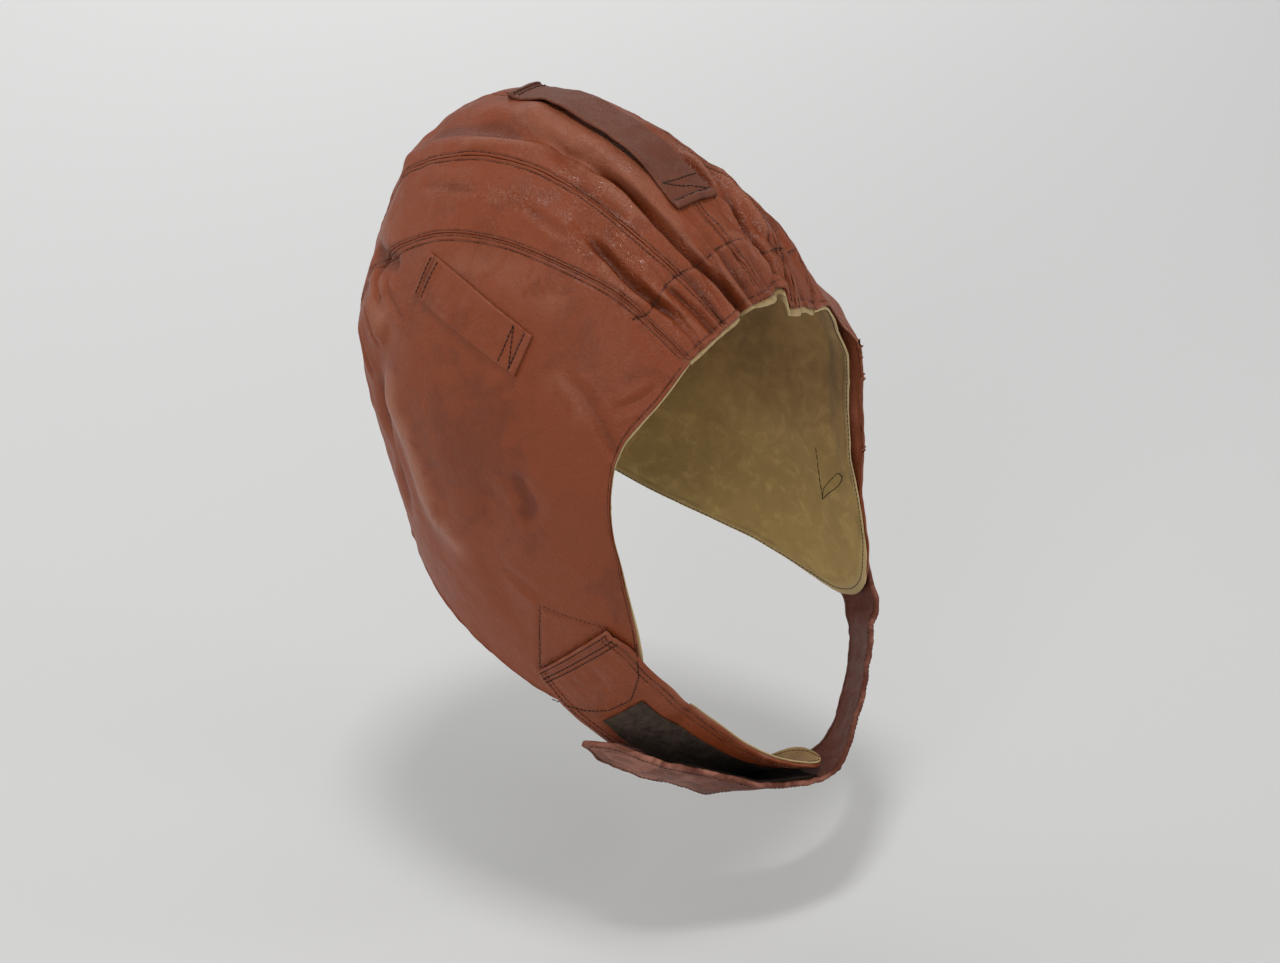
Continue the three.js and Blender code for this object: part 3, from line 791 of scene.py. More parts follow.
@dataclass
class Threads:
    """Sewn rows, gathered and made into one mesh for each piece that carries them.

    Args:
        name: The piece's plain name.
        pitch: Length of one stitch and the gap behind it.
        thickness: Thread thickness.
    """

    name: str
    pitch: float = 2.7
    thickness: float = 0.5
    places: list[Array] = field(default_factory=list)
    ways: list[Array] = field(default_factory=list)
    ups: list[Array] = field(default_factory=list)

    def sew(self, line: Array, up: Array, pitch: float | None = None) -> None:
        """Lays stitches along a line.

        Args:
            line: Places on the face, close together.
            up: Outward normals there.
            pitch: Stitch length with its gap, where it isn't the usual one.
        """
        total = travelled(line)
        count = max(int(total[-1] / (pitch or self.pitch)), 1)
        ends = np.linspace(0, total[-1], count + 1)
        at = points_at(ends, total, line)
        normal = points_at((ends[1:] + ends[:-1]) / 2, total, up)
        self.places.append((at[1:] + at[:-1]) / 2)
        self.ways.append(at[1:] - at[:-1])
        self.ups.append(unit(normal))

    def sew_on(self, surface: Surface, corners: Array, pitch: float | None = None) -> None:
        """Lays stitches along a broken line after it is brought onto a face."""
        total = travelled(corners)
        ends = np.linspace(0, total[-1], max(int(total[-1] / 1.2), 2) + 1)
        self.sew(*surface.onto(points_at(ends, total, corners)), pitch)

    def build(self) -> bpy.types.Object:
        """One mesh of all the stitches, each a bent capsule: an arch along it, an ellipse across it."""
        at = np.concatenate(self.places)[:, None, None]
        way = np.concatenate(self.ways)[:, None, None]
        up = np.concatenate(self.ups)[:, None, None]
        length = np.linalg.norm(way, axis=-1, keepdims=True)
        along = way / np.maximum(length, 1e-9)
        aside = unit(np.cross(up, along))
        u = np.array([-0.5, -0.42, -0.2, 0.2, 0.42, 0.5])[None, :, None, None]
        turn = np.linspace(0, 2 * np.pi, 5, endpoint=False) + 0.3
        v = turn[None, None, :, None]
        r = self.thickness / 2 * np.sqrt(np.clip(1.02 - (2 * u) ** 6, 0.05, 1))
        arch = self.thickness * (0.42 - 1.9 * np.abs(u) ** 3 * 2)
        seed = np.arange(len(at))[:, None, None, None]
        lean = 0.1 * np.sin(seed * 2.4) * u * 2
        core = at + along * length * 0.9 * u + up * arch + aside * lean
        points = core + r * (np.cos(v) * aside + np.sin(v) * up)
        s, n, m = points.shape[:3]
        ring = np.arange(n * m).reshape(n, m)
        nxt = np.roll(ring, -1, axis=1)
        side = np.stack([ring[:-1], nxt[:-1], nxt[1:], ring[1:]], -1).reshape(-1, 4)
        first, last = ring[0], ring[-1]
        caps = np.array([first[[3, 2, 1, 0]], last[[0, 1, 2, 3]]])
        tips = np.array([first[[4, 3, 0]], last[[0, 3, 4]]])
        base = np.concatenate([side, caps])
        vertices = metres(points.reshape(-1, 3))
        shift = (np.arange(s) * n * m)[:, None, None]
        quads = (base[None] + shift).reshape(-1, 4)
        triangles = (tips[None] + shift).reshape(-1, 3)
        return put_mixed(self.name, vertices, quads, triangles)


def put_mixed(name: str, vertices: Array, quads: Array, triangles: Array) -> bpy.types.Object:
    """A smooth mesh object of quads and triangles, with its normals made to point outwards."""
    mesh = bpy.data.meshes.new(name)
    mesh.vertices.add(len(vertices))
    mesh.vertices.foreach_set("co", vertices.astype(np.float32).ravel())
    corners = np.concatenate([quads.ravel(), triangles.ravel()]).astype(np.int32)
    starts = np.concatenate([np.arange(len(quads)) * 4, quads.size + np.arange(len(triangles)) * 3])
    a, b, c = (vertices[triangles[:, i]] for i in range(3))
    volume = signed_volume(vertices, quads) + float((a * np.cross(b, c)).sum() / 6)
    mesh.loops.add(len(corners))
    mesh.loops.foreach_set("vertex_index", corners)
    mesh.polygons.add(len(starts))
    mesh.polygons.foreach_set("loop_start", starts.astype(np.int32))
    mesh.update(calc_edges=True)
    if volume < 0:
        mesh.flip_normals()
    mesh.polygons.foreach_set("use_smooth", np.ones(len(starts), bool))
    mesh.validate()
    return placed(name, mesh)


class Edge(Enum):
    """What an edge of a panel is: sewn to its neighbour, or free."""

    SEAM = "seam"
    FREE = "free"


@dataclass
class Panel:
    """One leather panel between two seam lines.

    Args:
        node: The CAD node that it stands for.
        start: Line and side of its first edge.
        end: Line and side of its last edge.
        edges: What its two edges are.
        stations: Number of grid rows along the seams.
        lines: Number of grid lines across.
        offsets: For each edge, how far in its sewn rows run.
        grooves: Sewn lines that press into it.
    """

    node: str
    start: tuple[Array, Side]
    end: tuple[Array, Side]
    edges: tuple[Edge, Edge]
    stations: int
    lines: int
    offsets: tuple[tuple[float, ...], tuple[float, ...]]
    grooves: tuple[Array, ...] = ()
    surface: Surface | None = None
    threads: Threads | None = None

    def places_across(self, width: Array) -> Array:
        """Distances from the first edge: close together beside each edge, even between.

        Args:
            width: Width of the panel at each station.

        Returns:
            A row of rising distances for each station.
        """
        near = {
            Edge.SEAM: np.array([0, 0.3, 0.65, 1.1, 1.5, 1.9, 2.4, 2.9, 3.4, 4.3, 5.6]),
            Edge.FREE: np.array([0, 0.25, 0.6, 1.1, 1.7, 2.3, 2.8, 3.3, 4.0, 5.0, 6.3]),
        }
        low, high = near[self.edges[0]], near[self.edges[1]]
        scale = np.minimum(1, width / (2.4 * 6.3))[:, None]
        middle = self.lines - len(low) - len(high)
        t = np.linspace(0, 1, middle + 2)[1:-1]
        left, right = low[-1] * scale, width[:, None] - high[-1] * scale
        middle = left + (right - left) * t
        return np.concatenate([low * scale, middle, width[:, None] - high[::-1] * scale], 1)

    def edge_height(self, off: Array, along: Array, kind: Edge, rows_in: Sequence[float], seed: int) -> Array:
        """Dip of a seam or roundness of a free edge, with sewn rows pressed in and puckered.

        Args:
            off: Distance from the edge.
            along: Length along the edge.
            kind: What the edge is.
            rows_in: Offsets of the sewn rows.
            seed: Which pucker pattern.

        Returns:
            Height over the smooth leather: bells of the distance, times noise of the length.
        """
        if kind is Edge.SEAM:
            height = 0.20 * bell(off, 0.5, 0.8) - 0.35 * np.exp(-((off / 0.22) ** 2))
        else:
            height = 0.30 * bell(off, 1.3, 0.9) - 0.55 * (1 - np.clip(off / 0.8, 0, 1)) ** 2
        plane = np.stack([along, 0.5 * off, np.zeros_like(off)], -1)
        fine = noise(plane, (2.6, 3.0, 1), seed)
        wide = noise(plane, (8.0, 9.0, 1), seed + 1)
        for row in rows_in:
            height += -0.34 * bell(off, row, 0.42) + 0.10 * bell(off, row + 1.1, 0.6)
            height += 0.30 * fine * bell(off, row, 1.3)
        height += 0.50 * wide * bell(off, 3.0, 6.0) * (1 if rows_in else 0)
        return height

    def build(self) -> bpy.types.Object:
        """The panel: a great-circle patch between its edges, lifted by wear and sunk at its seams."""
        low = RIM_SETBACK / SEAM_LENGTH
        share = np.linspace(low, 1 - low, self.stations)
        a = seam_ways(*self.start, share)[:, None]
        b = seam_ways(*self.end, share)[:, None]
        t = np.linspace(0, 1, 33)[None]
        coarse = FORM.skin(between(a, b, t))
        run = np.linalg.norm(np.diff(coarse, axis=1), axis=-1)
        total = np.concatenate([np.zeros((len(share), 1)), np.cumsum(run, 1)], 1)
        width = total[:, -1]
        off = self.places_across(width)
        keep = [RIM_SETBACK if kind is Edge.FREE else 0.03 for kind in self.edges]
        inside = np.minimum(1, width / 8)[:, None]
        held = keep[0] * inside + off * (1 - sum(keep) * inside / np.maximum(width[:, None], 1e-6))
        ways = between(a, b, sampled(held, total, np.broadcast_to(t, total.shape)))
        smooth = FORM.skin(ways)
        worn = RELIEF.height(smooth)
        base = RELIEF.ruffled(smooth)
        normal = grid_normal(base)
        step = np.linalg.norm(np.diff(base, axis=0), axis=-1)
        along = np.concatenate([np.zeros((1, off.shape[1])), np.cumsum(step, 0)])
        back = width[:, None] - off
        seed = sum(map(ord, self.node))
        detail = self.edge_height(off, along, self.edges[0], self.offsets[0], seed)
        detail += self.edge_height(back, along, self.edges[1], self.offsets[1], seed + 5)
        ends = np.minimum(along, along[-1] - along)
        wavy = noise(base, 7, seed + 2)
        detail += 0.45 * bell(ends, 1.5, 1.0) - 0.6 * (1 - np.clip(ends / 0.9, 0, 1)) ** 2
        detail += 0.5 * wavy * np.exp(-ends / 4) - 0.40 * bell(ends, 3.2, 0.5)
        sewn = np.zeros_like(off)
        for line in self.grooves:
            gap, _ = to_line(smooth, laid(line, smooth=line is not TRIANGLE))
            detail -= 0.55 * np.exp(-((gap / 0.8) ** 2)) - 0.25 * bell(gap, 2.8, 1.4)
            sewn = np.maximum(sewn, 0.5 * np.exp(-((gap / 0.5) ** 2)))
        detail *= 0.35 + 0.65 * fade(width[:, None], 2, 16)
        outer = base + normal * (worn + detail)[..., None]
        inner = outer - grid_normal(outer) * 1.15
        self.surface = Surface(outer, grid_normal(outer))
        self.threads = Threads(f"{self.node}_stitching", 1.9, 0.36)
        for rows_in, side_off in zip(self.offsets, (off, back)):
            self.sew_rows(rows_in, side_off, width)
        seam = np.zeros_like(off)
        for kind, rows_in, distance in zip(self.edges, self.offsets, (off, back)):
            if kind is Edge.SEAM:
                seam = np.maximum(seam, 0.35 * np.exp(-((distance / 0.3) ** 2)))
            for row in rows_in:
                seam = np.maximum(seam, 0.42 * bell(distance, row, 0.4))
        seam = np.maximum(seam, 0.5 * bell(ends, 3.2, 0.5) * (self.edges[0] is Edge.SEAM))
        free = [np.where(kind is Edge.FREE, gap, 99) for kind, gap in zip(self.edges, (off, back))]
        rim = np.minimum(*free)
        marks = {
            "seam": np.maximum(seam, 0.9 * sewn),
            "rim": np.exp(-np.minimum(rim, ends) / 1.6),
            # rise: height over the smooth form; the finish paints shade where it is low and wear where it is
            # high
            "rise": np.clip(0.5 + 0.28 * worn, 0, 1),
            "glaze": np.clip(sum((g.at(base) for g in GLAZED), 0 * off), 0, 1),
            # these ridges are painted paler, partly as wear and partly as painted highlight
            "rubbed_and_lit": np.clip(sum((g.at(base) for g in RUBBED_AND_HIGHLIT), 0 * off), 0, 1),
        }
        piece = shell(self.node + "_leather", outer, inner, marks)
        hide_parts(self.node)
        if self.edges[0] is Edge.SEAM:
            self.sew_ends(along)
        return piece

    def sew_ends(self, along: Array) -> None:
        """A row of stitches 3.2 mm in from the brow edge and from the nape edge."""
        assert self.surface and self.threads
        m = along.shape[1]
        cut = slice(1, -1)
        for turned in (False, True):
            run = (along[-1:] - along)[::-1].T if turned else along.T
            order = slice(None, None, -1) if turned else slice(None)
            wanted = np.full((m, 1), 3.2)
            grid, normals = self.surface.places[order], self.surface.normals[order]
            line = points_across(wanted, run, grid.swapaxes(0, 1))
            up = points_across(wanted, run, normals.swapaxes(0, 1))
            self.threads.sew(line[cut], unit(up[cut]))

    def sew_rows(self, rows_in: Sequence[float], off: Array, width: Array) -> None:
        """Stitches at fixed distances from an edge, read off the finished face.

        Args:
            rows_in: Distances of the rows from the edge.
            off: Grid of distances from that edge.
            width: Width of the panel at each station.
        """
        assert self.surface and self.threads
        rising = off[:, 0].mean() < off[:, -1].mean()
        turned = slice(None) if rising else slice(None, None, -1)
        for row in rows_in:
            wanted = np.full((len(off), 1), row)
            line, up = (points_across(wanted, off[:, turned], grid[:, turned])
                        for grid in (self.surface.places, self.surface.normals))
            wide = width > 2.5 * row + 1
            self.threads.sew(line[wide], unit(up[wide]))


def broken(text: str, side: Side = Side.RIGHT) -> Array:
    """A sewn line's corners from its table, for one side."""
    return mirrored(rows(text), side)


BROW_RIGHT = broken(
    "-53 -52 65\n-49 -56 67\n-42 -57 73\n-34 -57 78\n-26 -59 80\n-19 -60 81\n-5 -60 83\n0 -60 83")
BROW_LEFT = broken("0 -60 83\n7 -61 82\n19 -66 75\n29 -65 72\n40 -63 67\n48 -60 64\n54 -55 60")
TRIANGLE = broken("-71 -14 -107\n-78 -21 -69\n-69 -51 -73\n-71 -14 -107")


# Where the strap's sewing shows on the chamois of the left flap
TORN_LINE = rows("91 -43 -54\n91 -46 -67\n91 -48.5 -79")
TORN_BOX = rows("91.5 -48 -80\n89.7 -53 -74\n88 -59 -68\n86 -63 -61\n89.5 -57.6 -62\n89.6 -53 -68\n"
                "91 -49 -74\n91.5 -48 -80")


@dataclass
class Lining:
    """The chamois lining, one sheet under all the panels."""

    node: str = "lining"
    stations: int = 190
    lines: tuple[int, ...] = (34, 12, 12, 12, 12, 34)
    thickness: float = 1.0
    surface: Surface | None = None
    inside: Surface | None = None

    def strips(self) -> list[tuple[Array, Side, Array, Side]]:
        """The lines that bound each strip, from the right flap over the crown to the left flap."""
        right, left = Side.RIGHT, Side.LEFT
        return [
            (FLAP_EDGE, right, LOWER_SEAM, right),
            (LOWER_SEAM, right, UPPER_SEAM, right),
            (UPPER_SEAM, right, CENTRE_SEAM, right),
            (CENTRE_SEAM, right, UPPER_SEAM, left),
            (UPPER_SEAM, left, LOWER_SEAM, left),
            (LOWER_SEAM, left, FLAP_EDGE, left),
        ]

    def rolled_out(self, base: Array) -> Array:
        """How far the rim stands past the leather: a push away from the inside, faded over 2 mm."""
        push = np.zeros_like(base)
        for edge, inner in ((0, 4), (-1, -5)):
            way = unit(base[:, edge] - base[:, inner])
            size = 0.75 + 0.4 * noise(base[:, edge], 9, 35)
            step = np.linalg.norm(base - base[:, edge][:, None], axis=-1)
            push += way[:, None] * (size[:, None] * np.exp(-step / 1.6))[..., None]
        way = unit(base[0] - base[3])
        x = base[0, :, 0]
        size = 1.1 + 0.7 * noise(base[0], 5, 36) + 1.6 * bell(x, 5, 8) + 1.2 * bell(x, 27, 8)
        step = np.linalg.norm(base - base[0][None], axis=-1)
        return push + way[None] * (size[None] * np.exp(-step / 2.2))[..., None]

    def build(self) -> bpy.types.Object:
        """Great-circle patches joined side by side, close under the leather at the rim and deeper inside."""
        low = 0.15 / SEAM_LENGTH
        share = np.linspace(low, 1 - low, self.stations)
        parts = []
        for (first, s1, last, s2), count in zip(self.strips(), self.lines):
            t = (1 - np.cos(np.linspace(0, np.pi, count + 1))) / 2
            t = 0.65 * np.linspace(0, 1, count + 1) + 0.35 * t
            a, b = seam_ways(first, s1, share)[:, None], seam_ways(last, s2, share)[:, None]
            part = between(a, b, t[None])
            parts.append(part if last is FLAP_EDGE else part[:, :-1])
        ways = np.concatenate(parts, 1)
        smooth = FORM.skin(ways)
        base = RELIEF.ruffled(smooth)
        normal = grid_normal(base)
        base = base + self.rolled_out(base)
        rim_line = np.concatenate([base[:, 0], base[-1, 1:], base[-2::-1, -1], base[0, -2::-1]])[::4]
        rim, _ = to_line(base, np.vstack([rim_line, rim_line[:1]]))
        worn = RELIEF.height(smooth, lining=True)
        deep = LEATHER + 0.12 + 1.15 * fade(rim, 0.5, 9)
        roll = 0.45 * (1 - np.clip(rim / 0.8, 0, 1)) ** 2
        soft = 0.18 * noise(base, 7, 31) + 0.22 * noise(base, 17, 32) * fade(rim, 2, 12)
        row = -0.25 * bell(rim, 3.2, 0.6)
        outer = base + normal * (worn - deep - roll)[..., None]
        inner = base + normal * (worn - deep - self.thickness + roll + soft - row)[..., None]
        self.inside = Surface(inner, -grid_normal(inner))
        self.surface = Surface(outer, grid_normal(outer))
        marks = {
            "rim": np.exp(-((rim / 1.5) ** 2)),
            "row": bell(rim, 3.2, 0.4),
            # low: how far down it hangs; the finish paints the chamois lighter there as painted light
            "low": fade(-base[..., 2], 20, 75),
        }
        piece = shell("lining_chamois", outer, inner, marks)
        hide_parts(self.node)
        return piece

    def sewn(self) -> bpy.types.Object:
        """Stitches inside it: a row along each flap's edge, and the torn box low on the left flap."""
        assert self.inside
        threads = Threads("lining_stitching", 2.2, 0.4)
        for far in (False, True):
            line, up = edge_line(self.inside, 3.2, far)
            threads.sew(line[8:-8], up[8:-8])
        threads.sew_on(self.inside, TORN_LINE, 3.4)
        threads.sew_on(self.inside, TORN_BOX, 1.9)
        return threads.build()


@dataclass
class Tab:
    """A strip of leather sewn down at both ends, standing off between them.

    Args:
        node: The CAD node that it stands for.
        side: Which side it is on.
        corners: Back top, back low, front top and front low.
        rise: How far it stands off.
        sizes: Grid steps along and across.
        thickness: Leather between its faces.
        bar: Height of the folded-under leather at its ends.
        sewn: Share of its length that is sewn down at each end.
    """

    node: str
    side: Side
    corners: Array
    rise: float
    sizes: tuple[int, int]
    thickness: float = 1.3
    bar: float = 0.45
    sewn: float = 0.14
    surface: Surface | None = None

    def place(self, share: Array, across: Array) -> tuple[Array, Array]:
        """Points on the leather below it: a bilinear patch of its corners, brought onto the skin."""
        a, b, c, d = mirrored(self.corners, self.side)
        back = a + (b - a) * across[..., None]
        front = c + (d - c) * across[..., None]
        ways = unit(back + (front - back) * share[..., None])
        return FORM.skin(ways), FORM.normal(ways)

    def build(self) -> bpy.types.Object:
        """A grid along and across it, lifted by a smooth step from each sewn end."""
        n, m = self.sizes
        share = np.linspace(0, 1, n + 1)[:, None] + np.zeros((1, m + 1))
        u = (1 - np.cos(np.linspace(0, np.pi, m + 1))) / 2
        u = 0.4 * np.linspace(0, 1, m + 1) + 0.6 * u
        across = np.zeros((n + 1, 1)) + u[None]
        base, normal = self.place(share, across)
        end = np.minimum(share, 1 - share)
        stand = self.rise * fade(end, self.sewn, 2.4 * self.sewn)
        length = np.linalg.norm(base[-1, 0] - base[0, 0])
        width = np.linalg.norm(base[0, -1] - base[0, 0])
        edge = np.minimum(across, 1 - across) * width
        tip = end * length
        wave = 0.35 * noise(base, 12, 41) + 0.15 * noise(base, 5, 42)
        bar = self.bar * (1 - fade(tip, 2.6, 3.8)) + 0.10 * bell(edge, 1.5, 1.2)
        press = -0.30 * bell(tip, 3.8, 0.7) - 0.20 * bell(tip, 9.0, 1.2)
        rounding = 0.6 * (1 - np.clip(np.minimum(edge, tip) / 1.1, 0, 1)) ** 2
        worn = RELIEF.height(base)
        level = worn + 0.25 + stand + wave * fade(end, 0, self.sewn)
        outer = base + normal * (level + self.thickness + bar + press - rounding)[..., None]
        inner = base + normal * (level + 0.1 * rounding)[..., None]
        self.surface = Surface(outer, grid_normal(outer))
        marks = {
            "seam": 0.5 * bell(tip, 3.8, 0.6),
            "rim": 0.35 * np.exp(-np.minimum(edge, tip) / 1.2),
            "rise": np.clip(0.5 + 0.4 * wave, 0, 1),
            "glaze": np.full_like(tip, 0.2),
            "rubbed_and_lit": np.zeros_like(tip),
        }
        piece = shell(self.node + "_leather", outer, inner, marks)
        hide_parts(self.node)
        return piece

    def line(self, points: Sequence[tuple[float, float]]) -> Array:
        """Places on the tab from pairs of millimetres from its front end and share across."""
        assert self.surface
        grid = self.surface.places
        n, m = grid.shape[:2]
        length = np.linalg.norm(grid[-1, m // 2] - grid[0, m // 2])
        pairs = np.array(points)
        fine = np.linspace(0, len(pairs) - 1, 24 * (len(pairs) - 1) + 1)
        from_end = np.interp(fine, np.arange(len(pairs)), pairs[:, 0])
        across = np.interp(fine, np.arange(len(pairs)), pairs[:, 1])
        i = (n - 1) * (1 - from_end / length)
        u = (1 - np.cos(np.linspace(0, np.pi, m))) / 2
        u = 0.4 * np.linspace(0, 1, m) + 0.6 * u
        j = np.interp(across, u, np.arange(m))
        i0, j0 = np.clip(i.astype(int), 0, n - 2), np.clip(j.astype(int), 0, m - 2)
        s, t = (i - i0)[:, None], (j - j0)[:, None]
        near = grid[i0, j0] * (1 - t) + grid[i0, j0 + 1] * t
        far = grid[i0 + 1, j0] * (1 - t) + grid[i0 + 1, j0 + 1] * t
        return near * (1 - s) + far * s


@dataclass
class Ribbon:
    """A chin strap as a surface of two shares.

    Args:
        table: Stations, with columns ax ay az bx by bz held curl.
        side: Which flap carries it.
        thickness: Leather between its faces.
        tip: Width share at each share of the length.
    """

    table: Array
    side: Side
    thickness: float
    tip: Callable[[Array], Array]

    def plain(self, share: Array, across: Array) -> Array:
        """Straight line across between the two edge curves."""
        a = Curve(self.table[:, 0:3]).at(share)
        b = Curve(self.table[:, 3:6]).at(share)
        return b + (a - b) * ((across + 1) / 2)[..., None]

    def column(self, number: int, share: Array) -> Array:
        """Straight-line reading of a table column."""
        stations = np.linspace(0, 1, len(self.table))
        return np.interp(share, stations, self.table[:, number])

    def normal_of(self, place: Callable[[Array, Array], Array], share: Array, across: Array) -> Array:
        """Cross product of the slopes of a surface along and across the strap."""
        step = 0.004
        s = np.clip(share, step, 1 - step)
        along = place(s + step, across) - place(s - step, across)
        aside = place(s, across + 0.05) - place(s, across - 0.05)
        return unit(-self.side.value * np.cross(along, aside))

    def place(self, share: Array, across: Array) -> Array:
        """The strap's outer face: curled at its edges, and laid on its flap where it is held."""
        curl = self.column(7, share) * across * across
        lifted = self.plain(share, across) - self.normal_of(self.plain, share, across) * curl[..., None]
        held = self.column(6, share)
        way = FORM.way_to(lifted)
        up = FORM.normal(way)
        height = ((lifted - FORM.skin(way)) * up).sum(-1)
        least = LAID + self.thickness
        ease = fade(held, 0, 1)
        wanted = np.maximum(least, height + (least - height) * ease) + 0.5 * ease
        push = np.where(held > 0, (wanted - height) * fade(held, 0, 0.3), 0)
        return lifted + up * push[..., None]

    def normal(self, share: Array, across: Array) -> Array:
        """Outward normal of the laid surface."""
        return self.normal_of(self.place, share, across)


@dataclass
class StrapLayer:
    """One layer of a strap between two depths below its outer face.

    Args:
        name: The piece's plain name.
        node: The CAD node that it stands for.
        span: First and last share of the strap's length.
        depths: Depths of its outer and inner faces.
        reach: Shares of the half width between which it lies, at its start and further on.
        sizes: Grid steps along and across.
        ripple: How wavy its edges are.
        fuzz: Roughness of its outer or inner face.
        seed: Which pattern of waves.
        worn: How much paler it is towards its free end, from wear and as painted light where the end is lit.
        pleats: Height of the sewn bar at its start and of the pleats that run out of it.
        swell: How much thicker its pile stands at its back edge, at which share of the strap and
            over which reach.
    """

    name: str
    node: str
    span: tuple[float, float]
    depths: tuple[float, float]
    reach: tuple[tuple[float, float], tuple[float, float]]
    sizes: tuple[int, int]
    ripple: float = 0.0
    fuzz: tuple[float, float] = (0.0, 0.0)
    seed: int = 50
    worn: float = 0.0
    pleats: float = 0.0
    swell: tuple[float, float, float] = (0.0, 0.5, 1.0)
    surface: Surface | None = None
    inside: Surface | None = None
    off: Array | None = None

    def build(self, ribbon: Ribbon) -> bpy.types.Object:
        """Grid of the ribbon's surface sunk to the two depths, with rounded edges and waves along them."""
        n, m = self.sizes
        share = np.linspace(*self.span, n + 1)[:, None] + np.zeros((1, m + 1))
        even = np.linspace(-1, 1, m + 1)
        u = 0.45 * even + 0.55 * np.sin(even * np.pi / 2)
        width = ribbon.tip(share[:, :1])
        grown = fade((share - self.span[0]) / (self.span[1] - self.span[0]), 0, 0.45)
        low, high = (a + (b - a) * grown for a, b in zip(*self.reach))
        across = width * (low + (high - low) * (u[None] + 1) / 2)
        centre = ribbon.place(share[:, m // 2], 0 * share[:, m // 2])
        run = travelled(centre)
        along = run[:, None] + np.zeros((1, m + 1))
        plane = np.stack([along, 6.0 * np.sign(u)[None] + 0 * along, 0 * along], -1)
        wave = noise(plane, (7, 9, 1), self.seed) + 0.6 * noise(plane, (3.3, 9, 1), self.seed + 1)
        held = ribbon.column(6, share)
        free = 1 - 0.8 * fade(held, 0, 0.6)
        across = across * (1 + 0.020 * self.ripple * wave * np.abs(u)[None] ** 3 * free)
        place = ribbon.place(share, across)
        normal = ribbon.normal(share, across)
        half = np.linalg.norm(place[:, -1] - place[:, 0], axis=-1)[:, None] / 2
        edge = (1 - np.abs(u)[None]) * half
        tip = np.minimum(along, along[-1] - along)
        off = np.minimum(edge, tip)
        slow = 0.3 * noise(place, 14, self.seed + 2)
        lift = self.ripple * free * (0.55 * wave * np.abs(u)[None] ** 2 + slow)
        lift = lift + RELIEF.height(place) * fade(held, 0.2, 0.9)
        pleat = noise(np.stack([along * 0.25, across * half, 0 * along], -1), (9, 3.6, 9), self.seed + 9)
        running = fade(along, 6, 10) * np.exp(-along / 16) * 2.6 * pleat
        lift = lift + self.pleats * (bell(along, 3.4, 1.0) + running)
        amount, middle, reach = self.swell
        lift = lift + amount * bell(share, middle, reach) * fade(-u[None], -0.2, 0.8)
        body = self.depths[1] - self.depths[0]
        rounding = min(0.45 * body, 0.6) * (1 - np.clip(off / 1.1, 0, 1)) ** 2
        rough = [size * (noise(place, 1.1, self.seed + k) + noise(place, 3.5, self.seed + k + 3))
                 for k, size in enumerate(self.fuzz, 4)]
        outer = place + normal * (lift - self.depths[0] - rounding + rough[0])[..., None]
        inner = place + normal * (lift - self.depths[1] + rounding - rough[1])[..., None]
        self.surface = Surface(outer, unit(normal))
        self.inside = Surface(inner, -unit(normal))
        self.off = off
        marks = {
            "seam": 0.45 * bell(off, 3.0, 0.6),
            "rim": np.exp(-off / 1.0),
            "rise": np.clip(0.5 + 0.3 * lift, 0, 1),
            "glaze": np.full_like(off, 0.25),
            # Wear and painted light: the strap is made paler towards its free end, where the light falls on
            # it.
            "rubbed_and_lit": self.worn * fade(share, 0.70, 0.84),
            "along": (share - self.span[0]) / (self.span[1] - self.span[0]),
            "across": np.zeros_like(share) + u[None],
        }
        piece = shell(self.name, outer, inner, marks)
        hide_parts(self.node)
        return piece

    def edge_rows(self, inset: float, threads: Threads, inside: bool = False, last: float = 1.0) -> None:
        """Stitches along both edges at a fixed distance in, on one of its faces."""
        face = self.inside if inside else self.surface
        assert face
        width = np.linalg.norm(np.diff(face.places, axis=1), axis=-1).sum(1)
        keep = width > 2.2 * inset
        keep[int((len(keep) - 1) * last):] = False
        keep[: 1 if self.span[0] > 0 else 3] = False
        for far in (False, True):
            line, up = edge_line(face, inset, far)
            threads.sew(line[keep], up[keep])


RIGHT_STRAP = rows("""
    -69 -51 -73 -71 -14 -107 1 0
    -62 -59 -81 -70 -19 -117 1 0
    -57 -65.5 -92 -67 -27 -127 0.85 0
    -51 -73.5 -104.5 -60 -38 -137 0.3 0.5
    -38 -76 -121 -46 -50 -151.5 0 1
    -27 -81 -134 -29 -57 -166 0 1
    -18 -88 -146 -10 -67 -173.5 0 1.5
    -7 -96 -157 8 -77 -173.5 0 2.5
    1 -102 -162 21 -84 -172 0 3.5
    13 -107 -166 32 -92 -172 0 3.5""")
LEFT_STRAP = rows("""
    89 -64 -75 97 -31 -109 1 0
    85.5 -69 -93.5 98 -44 -122 0.9 0
    82 -77.5 -114 96 -60 -132 0.4 0
    75 -91 -126 92 -68 -144 0 0.5
    66 -97 -136 83 -74 -153 0 1
    53 -103 -146 71 -80 -162 0 1
    42 -107 -155 60 -84 -172 0 1.5
    33 -110 -163 49 -85 -178 0 2
    24 -111 -169 36 -84 -179 0 2
    10 -109 -170 20 -81 -179 0 1.5
    -6 -104 -166 4 -77 -178 0 1.5
    -20 -98 -161.5 -8 -74 -178 0 1
    -36 -87 -152 -24 -69 -174.5 0 1
    -46 -79 -147 -35 -62 -167.5 0 1
    -57 -70 -141 -48 -54 -160 0 0.5
    -67 -58 -133 -61 -43 -150 0 0
    -75 -44 -127 -71 -35 -142 0 0""")


# The shares of the half width that a whole strap covers
WHOLE = ((-1.0, 1.0), (-1.0, 1.0))


def round_tip(start: float) -> Callable[[Array], Array]:
    """Width share of a tip that rounds off as a half ellipse after the start."""
    return lambda share: np.sqrt(
        np.clip(1 - np.clip((share - start) / (1 - start), 0, 0.9995) ** 2, 0.001, 1))


def blunt_tip(start: float) -> Callable[[Array], Array]:
    """Width share of a blunt pointed tip, a straight fall to 0.14 after the start."""
    return lambda share: 1 - 0.86 * np.clip((share - start) / (1 - start), 0, 1)


Socket = bpy.types.NodeSocket
Colour = tuple[float, float, float]


